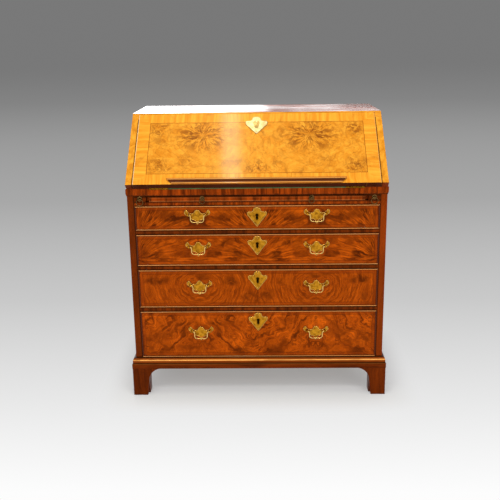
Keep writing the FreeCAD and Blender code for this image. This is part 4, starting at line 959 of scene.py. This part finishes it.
class BUREAU_OT_case(bpy.types.Operator):
    """Finish the carcase, mouldings, feet, lopers and slide in polished walnut"""

    bl_idname = "bureau.case"
    bl_label = "Case"

    def execute(self, context):
        wood = context.scene.bureau_wood
        light, dark = wood.solid_light, wood.solid_dark
        deep = [shade(tone, 0.60) for tone in (light, dark)]
        rosy = [shade(tone, 1.5) for tone in (light, dark)]
        bold = [shade(light, 1.3), shade(dark, 0.6)]
        calm = [shade(light, 0.88), [(a + b) * 0.42 for a, b in zip(light, dark)]]
        # The left side takes a darker copy of the calm tones of the right side: painted shade.
        shaded_calm = [shade(tone, 0.62) for tone in calm]
        fronts = [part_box(f"drawer_{number}_front") for number in DRAWERS]
        # The drawer openings, rails, waist, row, lopers and slide take painted shade along their gaps.
        opening = ("x", [fronts[0][1].x + 0.001])
        edges = [side for low, high in fronts for side in (low.z - 0.001, high.z + 0.001)]
        row = [corner.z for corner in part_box("brushing_slide")]
        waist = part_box("waist_moulding")[0].z
        base, base_top = (corner.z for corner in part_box("base_moulding"))
        # Light lines near the bottom and top edges of the slide: painted highlights.
        slide_crests = [
            (row[0] + 0.0036, 0.0016, 0.7, (0.46, 0.15, 0.04)),
            (row[1] - 0.0046, 0.0014, 0.3, (0.42, 0.13, 0.03)),
        ]
        # On the base moulding: a lighter band on the ovolo, a bright line along it and a thin light line on
        # the fillet below: painted light and painted highlights.
        base_crests = [
            (base + 0.0300, 0.0120, 0.9, (0.27, 0.045, 0.002)),
            (base + 0.0318, 0.0028, 1.0, (0.93, 0.42, 0.10)),
            (base + 0.0172, 0.0016, 0.6, (0.42, 0.13, 0.02)),
        ]

        def cover(name, along, tones, nodes, *grain, **more):
            dress(walnut(wood, name, along, *tones, *grain, **more), *nodes)

        cover("Left side walnut", "z", shaded_calm, ["side_left"], slope=True, seams=opening)
        cover("Right side walnut", "z", calm, ["side_right"], slope=True, seams=opening)
        cover("Top walnut", "x", rosy, ["top_board"], slope=True, finish=MIRROR, uneven=True)
        rail = (deep[0], shade(deep[1], 0.6))
        cover("Rail walnut", "z", rail, ["drawer_rails"], 0.02, 0.015, seams=("z", edges))
        cover("Waist walnut", "z", bold, ["waist_moulding"], 0.013, 0.02, seams=("z", [waist]))
        cover("Row walnut", "z", bold, ["loper_shelf"], 0.013, 0.02, seams=("z", [*row, edges[1]]))
        cover("Loper walnut", "y", deep, ["loper_left", "loper_right"], seams=("z", row))
        cover(
            "Slide walnut", "x", bold, ["brushing_slide"],
            front_along="z", seams=("z", row), crests=slide_crests,
        )
        # Painted shade in the quirk of the base moulding and along its top.
        hollows = ("z", [base + 0.0195, base_top])
        cover("Base walnut", "x", deep, ["base_moulding"], seams=hollows, crests=base_crests)
        feet = [f"foot_{end}_{side}" for end in ("front", "rear") for side in SIDES]
        cover("Foot walnut", "x", deep, feet, front_along="z")
        return {"FINISHED"}


class BUREAU_OT_fall(bpy.types.Operator):
    """Veneer the fall with book-matched burr and finish its book rest"""

    bl_idname = "bureau.fall"
    bl_label = "Fall"

    def execute(self, context):
        wood = context.scene.bureau_wood
        dress(fall_veneer(wood), "fall_panel", "fall_clamps")
        dress(rest_walnut(wood), "book_rest")
        return {"FINISHED"}


class BUREAU_OT_drawers(bpy.types.Operator):
    """Veneer the long drawers and finish their oak linings"""

    bl_idname = "bureau.drawers"
    bl_label = "Long drawers"

    def execute(self, context):
        wood = context.scene.bureau_wood
        for number in DRAWERS:
            dress(drawer_veneer(wood, number), f"drawer_{number}_front")
            low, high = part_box(f"drawer_{number}_box")
            dress(oak(wood, f"Drawer {number} oak", "y", (low.z, high.z, low.y)), f"drawer_{number}_box")
        return {"FINISHED"}


class BUREAU_OT_inside(bpy.types.Operator):
    """Finish the nest, the small drawers, the linings and the plain oak"""

    bl_idname = "bureau.inside"
    bl_label = "Inside"

    def execute(self, context):
        wood = context.scene.bureau_wood
        lining = context.scene.bureau_lining
        tones = (shade(wood.solid_light, 1.15), wood.solid_dark)
        dress(walnut(wood, "Nest walnut", "z", *tones), "pigeonhole_nest")
        fronts = walnut(wood, "Small drawer walnut", "y", *tones, front_along="x")
        dress(fronts, *[f"small_drawer_{number}" for number in DRAWERS])
        low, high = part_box("back_boards")
        dress(oak(wood, "Back oak", "x", boards=(low.z, (high.z - low.z) / BACK_BOARDS)), "back_boards")
        dress(oak(wood, "Dust board oak", "x"), "bottom_board")
        dress(walnut(wood, "Bed walnut", "x", *tones), "writing_bed")
        dress(oak(wood, "Runner oak", "y"), "drawer_runners")
        low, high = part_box("bed_lining")
        dress(leather("Bed leather", lining, high.x, low.y, high.y), "bed_lining")
        low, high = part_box("fall_lining")
        reach = (high.z - HINGE.z) / math.sin(SLOPE)
        dress(leather("Fall leather", lining, high.x, 0.0, reach, sloped=True), "fall_lining")
        return {"FINISHED"}


class BUREAU_OT_metal(bpy.types.Operator):
    """Finish the brasses, ring pulls, hinges and lock"""

    bl_idname = "bureau.metal"
    bl_label = "Brasses"

    def execute(self, context):
        metal = context.scene.bureau_metal
        bright, dull, bronze = metal.brass_bright, metal.brass_dull, metal.bronze
        keys = [drawer_key(number) for number in DRAWERS]
        dress(brass("Plate brass", bright, dull, 0.85, keys=keys), *[f"drawer_{n}_brasses" for n in DRAWERS])
        dress(brass("Shield brass", metal.brass_shield, dull, 0.5, 0.22), "fall_escutcheon")
        dress(brass("Drop brass", metal.brass_drop, dull, 0.6, 0.20), "keyhole_cover")
        bails = [f"drawer_{n}_bail_{side}" for n in DRAWERS for side in SIDES]
        dress(brass("Bail brass", metal.brass_bail, dull, 0.2), *bails)
        brass("Rim brass", metal.brass_rim, dull, 0.5)
        # Hinge brass is the plate brass darkened, so that the hinges sit dark in the gap under the fall:
        # painted shade.
        dress(brass("Hinge brass", shade(bright, 0.5), shade(dull, 0.4), 0.8), "bed_hinges", "fall_hinges")
        pulls = [f"{part}_{side}_ring" for part in ("loper", "slide") for side in SIDES]
        pulls += ["loper_left_rosette", "loper_right_rosette", "slide_rosettes"]
        dress(brass("Toned brass", bronze, shade(bronze, 0.4), 0.8), *pulls)
        dress(steel(metal), "fall_lock")
        return {"FINISHED"}


class BUREAU_OT_rims(bpy.types.Operator):
    """Raise a fine rim round each brass plate"""

    bl_idname = "bureau.rims"
    bl_label = "Plate rims"

    def execute(self, context):
        metal = context.scene.bureau_metal
        tree = wire_tree()
        values = {"Radius": metal.rim_radius, "Material": bpy.data.materials["Rim brass"]}
        inset = metal.rim_radius * 1.3
        for number in DRAWERS:
            handles = [JOINTS[f"drawer_{number}_{side}_handle_swing"]["pos_m"] for side in SIDES]
            plates = [(PLATE, x, z) for x, _, z in handles] + [(ESCUTCHEON, 0.0, drawer_key(number))]
            points, edges = [], []
            for plate, x, z in plates:
                outline = plate_outline(plate, inset)
                edges += closed_edges(len(points), len(outline))
                points += [on_front(spot, x, z) for spot in outline]
            grow(f"drawer_{number}_plate_rims", points, tree, values, f"drawer_{number}", edges)
        # The shield's rim is in the darker toned brass, a dark outline round the shield: painted shade.
        values["Material"] = bpy.data.materials["Toned brass"]
        under_drop = FALL_FACE + PLATE_FACE - metal.rim_radius * 0.95
        points = [on_fall(spot.x, fall_key() + spot.y, under_drop) for spot in plate_outline(SHIELD, 0.0)]
        grow("fall_shield_rim", points, tree, values, "fall", closed_edges(0, len(points)))
        return {"FINISHED"}


class BUREAU_OT_pins(bpy.types.Operator):
    """Pin the plates with small domed heads"""

    bl_idname = "bureau.pins"
    bl_label = "Plate pins"

    def execute(self, context):
        metal = context.scene.bureau_metal
        tree = stud_tree()
        brass_head = bpy.data.materials["Rim brass"]
        values = {"Radius": metal.pin_radius, "Flatness": (1.0, 0.6, 1.0), "Material": brass_head}
        for number in DRAWERS:
            points = [on_front(spot_on(ESCUTCHEON, *pin), 0.0, drawer_key(number)) for pin in PINS]
            grow(f"drawer_{number}_plate_pins", points, tree, values, f"drawer_{number}")
        values["Flatness"] = (1.0, 0.8, 0.8)
        spots = [spot_on(SHIELD, *pin) for pin in PINS]
        points = [on_fall(spot.x, fall_key() + spot.y, FALL_FACE + PLATE_FACE) for spot in spots]
        grow("fall_shield_pins", points, tree, values, "fall")
        return {"FINISHED"}


# Screws of a hinge leaf, along it and back from the hinge line, and distance of a board's outer
# nails from its end
LEAF_SCREWS = ((-0.022, 0.016), (0.0, 0.012), (0.022, 0.016))
NAIL_EDGE = 0.014


class BUREAU_OT_fixings(bpy.types.Operator):
    """Set the hinge screws and the nails of the back boards"""

    bl_idname = "bureau.fixings"
    bl_label = "Screws and nails"

    def execute(self, context):
        metal = context.scene.bureau_metal
        materials = bpy.data.materials
        tree = screw_tree()
        values = {"Radius": metal.screw_radius, "Tilt": 0.0, "Material": materials["Hinge brass"]}
        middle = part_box("bed_hinges")[1].x - HINGE_LEAF / 2
        lift = metal.screw_radius * 0.06
        spots = [(side * middle + along, back) for side in (-1, 1) for along, back in LEAF_SCREWS]
        points = [Vector((x, HINGE.y + back, HINGE.z + lift)) for x, back in spots]
        grow("bed_hinge_screws", points, tree, values, "carcase")
        values["Tilt"] = SLOPE + math.pi
        points = [on_fall(x, back, -lift) for x, back in spots]
        grow("fall_hinge_screws", points, tree, values, "fall")
        iron = materials["Lock steel"]
        values = {"Radius": metal.nail_radius, "Flatness": (1.0, 0.25, 1.0), "Material": iron}
        low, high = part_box("back_boards")
        board = (high.z - low.z) / BACK_BOARDS
        heights = [low.z + (i + share) * board for i in range(BACK_BOARDS) for share in (0.2, 0.8)]
        columns = (low.x + NAIL_EDGE, low.x / 3, high.x / 3, high.x - NAIL_EDGE)
        points = [Vector((x, high.y - metal.nail_radius * 0.16, z)) for z in heights for x in columns]
        grow("back_board_nails", points, stud_tree(), values, "carcase")
        return {"FINISHED"}


# Grey of the floor by the logarithm of the distance from the camera
FLOOR_TONES = (
    (0.0, 0.98), (0.032, 0.905), (0.072, 0.807), (0.172, 0.584),
    (0.314, 0.392), (0.591, 0.25), (0.875, 0.209),
)
FLOOR_EDGE, FLOOR_SIDES = 70.0, 64
# Distance past the case over which its shadow on the floor fades
SHADOW_REACH = 0.14


class BUREAU_OT_stage(bpy.types.Operator):
    """Set the floor, the light and the camera"""

    bl_idname = "bureau.stage"
    bl_label = "Stage"

    def execute(self, context):
        stage = context.scene.bureau_stage
        self.floor(stage)
        self.world(context.scene, stage)
        self.lights(stage)
        self.card(stage)
        self.camera(context.scene, stage)
        context.scene.view_settings.view_transform = "Standard"
        return {"FINISHED"}

    def sheet(self, name, points, material):
        """One flat face."""
        mesh = bpy.data.meshes.new(name)
        mesh.from_pydata(points, [], [list(range(len(points)))])
        mesh.materials.append(material)
        return add_object(name, mesh)

    def show(self, tree, share, lit, seen, output):
        """A share of one shader where the camera or a reflection looks, and the other where light falls."""
        rays = tree.nodes.new("ShaderNodeLightPath").outputs
        looks = most(*[Flow(tree, rays[f"Is {kind} Ray"]) for kind in ("Camera", "Glossy", "Transmission")])
        looks = looks * share if share else looks
        both = flow(tree, "ShaderNodeMixShader", {0: looks, 1: lit.outputs[0], 2: seen.outputs[0]})
        feed(tree.nodes[output], {"Surface": both})

    def floor(self, stage):
        material, shader, place = new_material("Floor", Roughness=0.8, Specular_IOR_Level=0.1)
        tree = place.tree
        from_camera = most(place.xyz()[1] - stage.camera_place[1], 1.0)
        ramp = put(tree, "ShaderNodeValToRGB", {0: (from_camera.do("LOGARITHM", 10.0) - 0.25) / 1.6})
        stops = ramp.color_ramp.elements
        while len(stops) < len(FLOOR_TONES):
            stops.new(0.5)
        for stop, (spot, grey) in zip(stops, FLOOR_TONES):
            stop.position = spot
            stop.color = (grey, grey, grey, 1.0)
        tones = Flow(tree, ramp.outputs[0])
        feed(shader, {"Base Color": mix(1.0, tones, stage.floor_near, "MULTIPLY")})
        far = spread(place.length().do("LOGARITHM", 10.0), 0.8, 1.7)
        glow = put(tree, "ShaderNodeEmission", {"Color": mix(far, tones, stage.floor_far), "Strength": 1.0})
        outside = most(abs(place) - (CAD_BOX[1].x, CAD_BOX[1].y, 0.0), (0.0, 0.0, 0.0)).length()
        self.show(tree, spread(outside, 0.0, SHADOW_REACH, 0.35, 1.0), shader, glow, "Material Output")
        turns = [2 * math.pi * i / FLOOR_SIDES for i in range(FLOOR_SIDES)]
        rim = [(FLOOR_EDGE * math.cos(turn), FLOOR_EDGE * math.sin(turn), 0.0) for turn in turns]
        floor = self.sheet("floor", rim, material)

    def world(self, scene, stage):
        world = bpy.data.worlds.new("Studio")
        scene.world = world
        world.use_nodes = True
        tree = world.node_tree
        lit = tree.nodes["Background"]
        feed(lit, {"Color": (1.0, 1.0, 1.0, 1.0), "Strength": stage.light_level})
        seen = put(tree, "ShaderNodeBackground", {"Color": (*stage.floor_far, 1.0), "Strength": 1.0})
        self.show(tree, None, lit, seen, "World Output")

    def lamp(self, name, place, target, size, power, tint=(1.0, 1.0, 1.0)):
        light = bpy.data.lights.new(name, "AREA")
        light.color = tint
        light.shape = "RECTANGLE"
        light.size, light.size_y = size
        light.energy = power
        lamp = add_object(name, light)
        lamp.location = place
        lamp.rotation_euler = (Vector(target) - Vector(place)).to_track_quat("-Z", "Y").to_euler()
        lamp.visible_camera = False

    def lights(self, stage):
        self.lamp("key", (-1.5, -2.9, 2.7), (0.0, -0.1, 0.5), (1.8, 1.4), stage.key_power * 0.7)
        self.lamp("fill", (1.9, -2.6, 1.7), (0.0, -0.1, 0.5), (1.6, 1.6), stage.key_power * 0.8)
        self.lamp(
            "strip", (-0.19, -0.35, 2.9), (-0.19, -0.35, 0.0), (0.11, 1.6),
            stage.strip_power, tint=(1.0, 1.0, 0.72),
        )
        self.lamp("front_bar", (0.0, -2.0, 2.7), (0.0, -0.2, 0.5), (2.6, 0.5), stage.bar_power)

    def card(self, stage):
        """A reflector behind the bureau, bright to the left, that shows in the polish of the top."""
        material, _, place = new_material("Rear card")
        level = stage.card_level
        smear = noise(place, 2.6, 2.0) * 0.9 + place.xyz()[0]
        streak = noise(place * (1.3, 1.0, 11.0), 1.0, 2.0, 0.6, 0.4)
        strength = most(
            spread(smear, 0.05, 0.60, level, 0.0), spread(streak, 0.40, 0.60, level * 0.02, level * 0.30)
        )
        glow = flow(place.tree, "ShaderNodeEmission", {"Color": (1.0, 1.0, 1.0, 1.0), "Strength": strength})
        feed(place.tree.nodes["Material Output"], {"Surface": glow})
        corners = [(-2.4, 3.4, 0.95), (2.6, 3.4, 0.95), (2.6, 3.4, 1.75), (-2.4, 3.4, 1.75)]
        card = self.sheet("rear_card", corners, material)
        card.visible_camera = False

    def camera(self, scene, stage):
        camera = bpy.data.cameras.new("camera")
        camera.sensor_width = 36.0
        camera.lens = stage.lens
        camera.shift_x = -0.0064
        camera.shift_y = -0.0514
        camera.clip_end = 200.0
        pitch, roll, yaw = stage.camera_turn
        turns = ((-yaw, "Z"), (math.pi / 2 - pitch, "X"), (roll, "Z"))
        held = Matrix.Translation(stage.camera_place)
        for angle, axis in turns:
            held = held @ Matrix.Rotation(angle, 4, axis)
        holder = add_object("camera", camera)
        holder.matrix_world = held
        scene.camera = holder


class BUREAU_PT_panel(bpy.types.Panel):
    """Steps of the bureau's looks"""

    bl_label = "Writing bureau"
    bl_idname = "BUREAU_PT_panel"
    bl_space_type = "VIEW_3D"
    bl_region_type = "UI"
    bl_category = "Bureau"

    def draw(self, context):
        for operator in OPERATORS:
            self.layout.operator(operator.bl_idname)


GROUP_PROPERTIES = {
    "bureau_wood": BureauWood,
    "bureau_metal": BureauMetal,
    "bureau_lining": BureauLining,
    "bureau_stage": BureauStage,
}
OPERATORS = (
    BUREAU_OT_case,
    BUREAU_OT_fall,
    BUREAU_OT_drawers,
    BUREAU_OT_inside,
    BUREAU_OT_metal,
    BUREAU_OT_rims,
    BUREAU_OT_pins,
    BUREAU_OT_fixings,
    BUREAU_OT_stage,
)
CLASSES = (*GROUP_PROPERTIES.values(), *OPERATORS, BUREAU_PT_panel)


def register():
    for item in CLASSES:
        bpy.utils.register_class(item)
    for name, group in GROUP_PROPERTIES.items():
        setattr(bpy.types.Scene, name, bpy.props.PointerProperty(type=group))


def unregister():
    for name in GROUP_PROPERTIES:
        delattr(bpy.types.Scene, name)
    for item in reversed(CLASSES):
        bpy.utils.unregister_class(item)


def plain(box):
    return [[float(v) for v in corner] for corner in box]


def main():
    register()
    for operator in OPERATORS:
        group, name = operator.bl_idname.split(".")
        getattr(getattr(bpy.ops, group), name)()


if __name__ == "__main__":
    main()
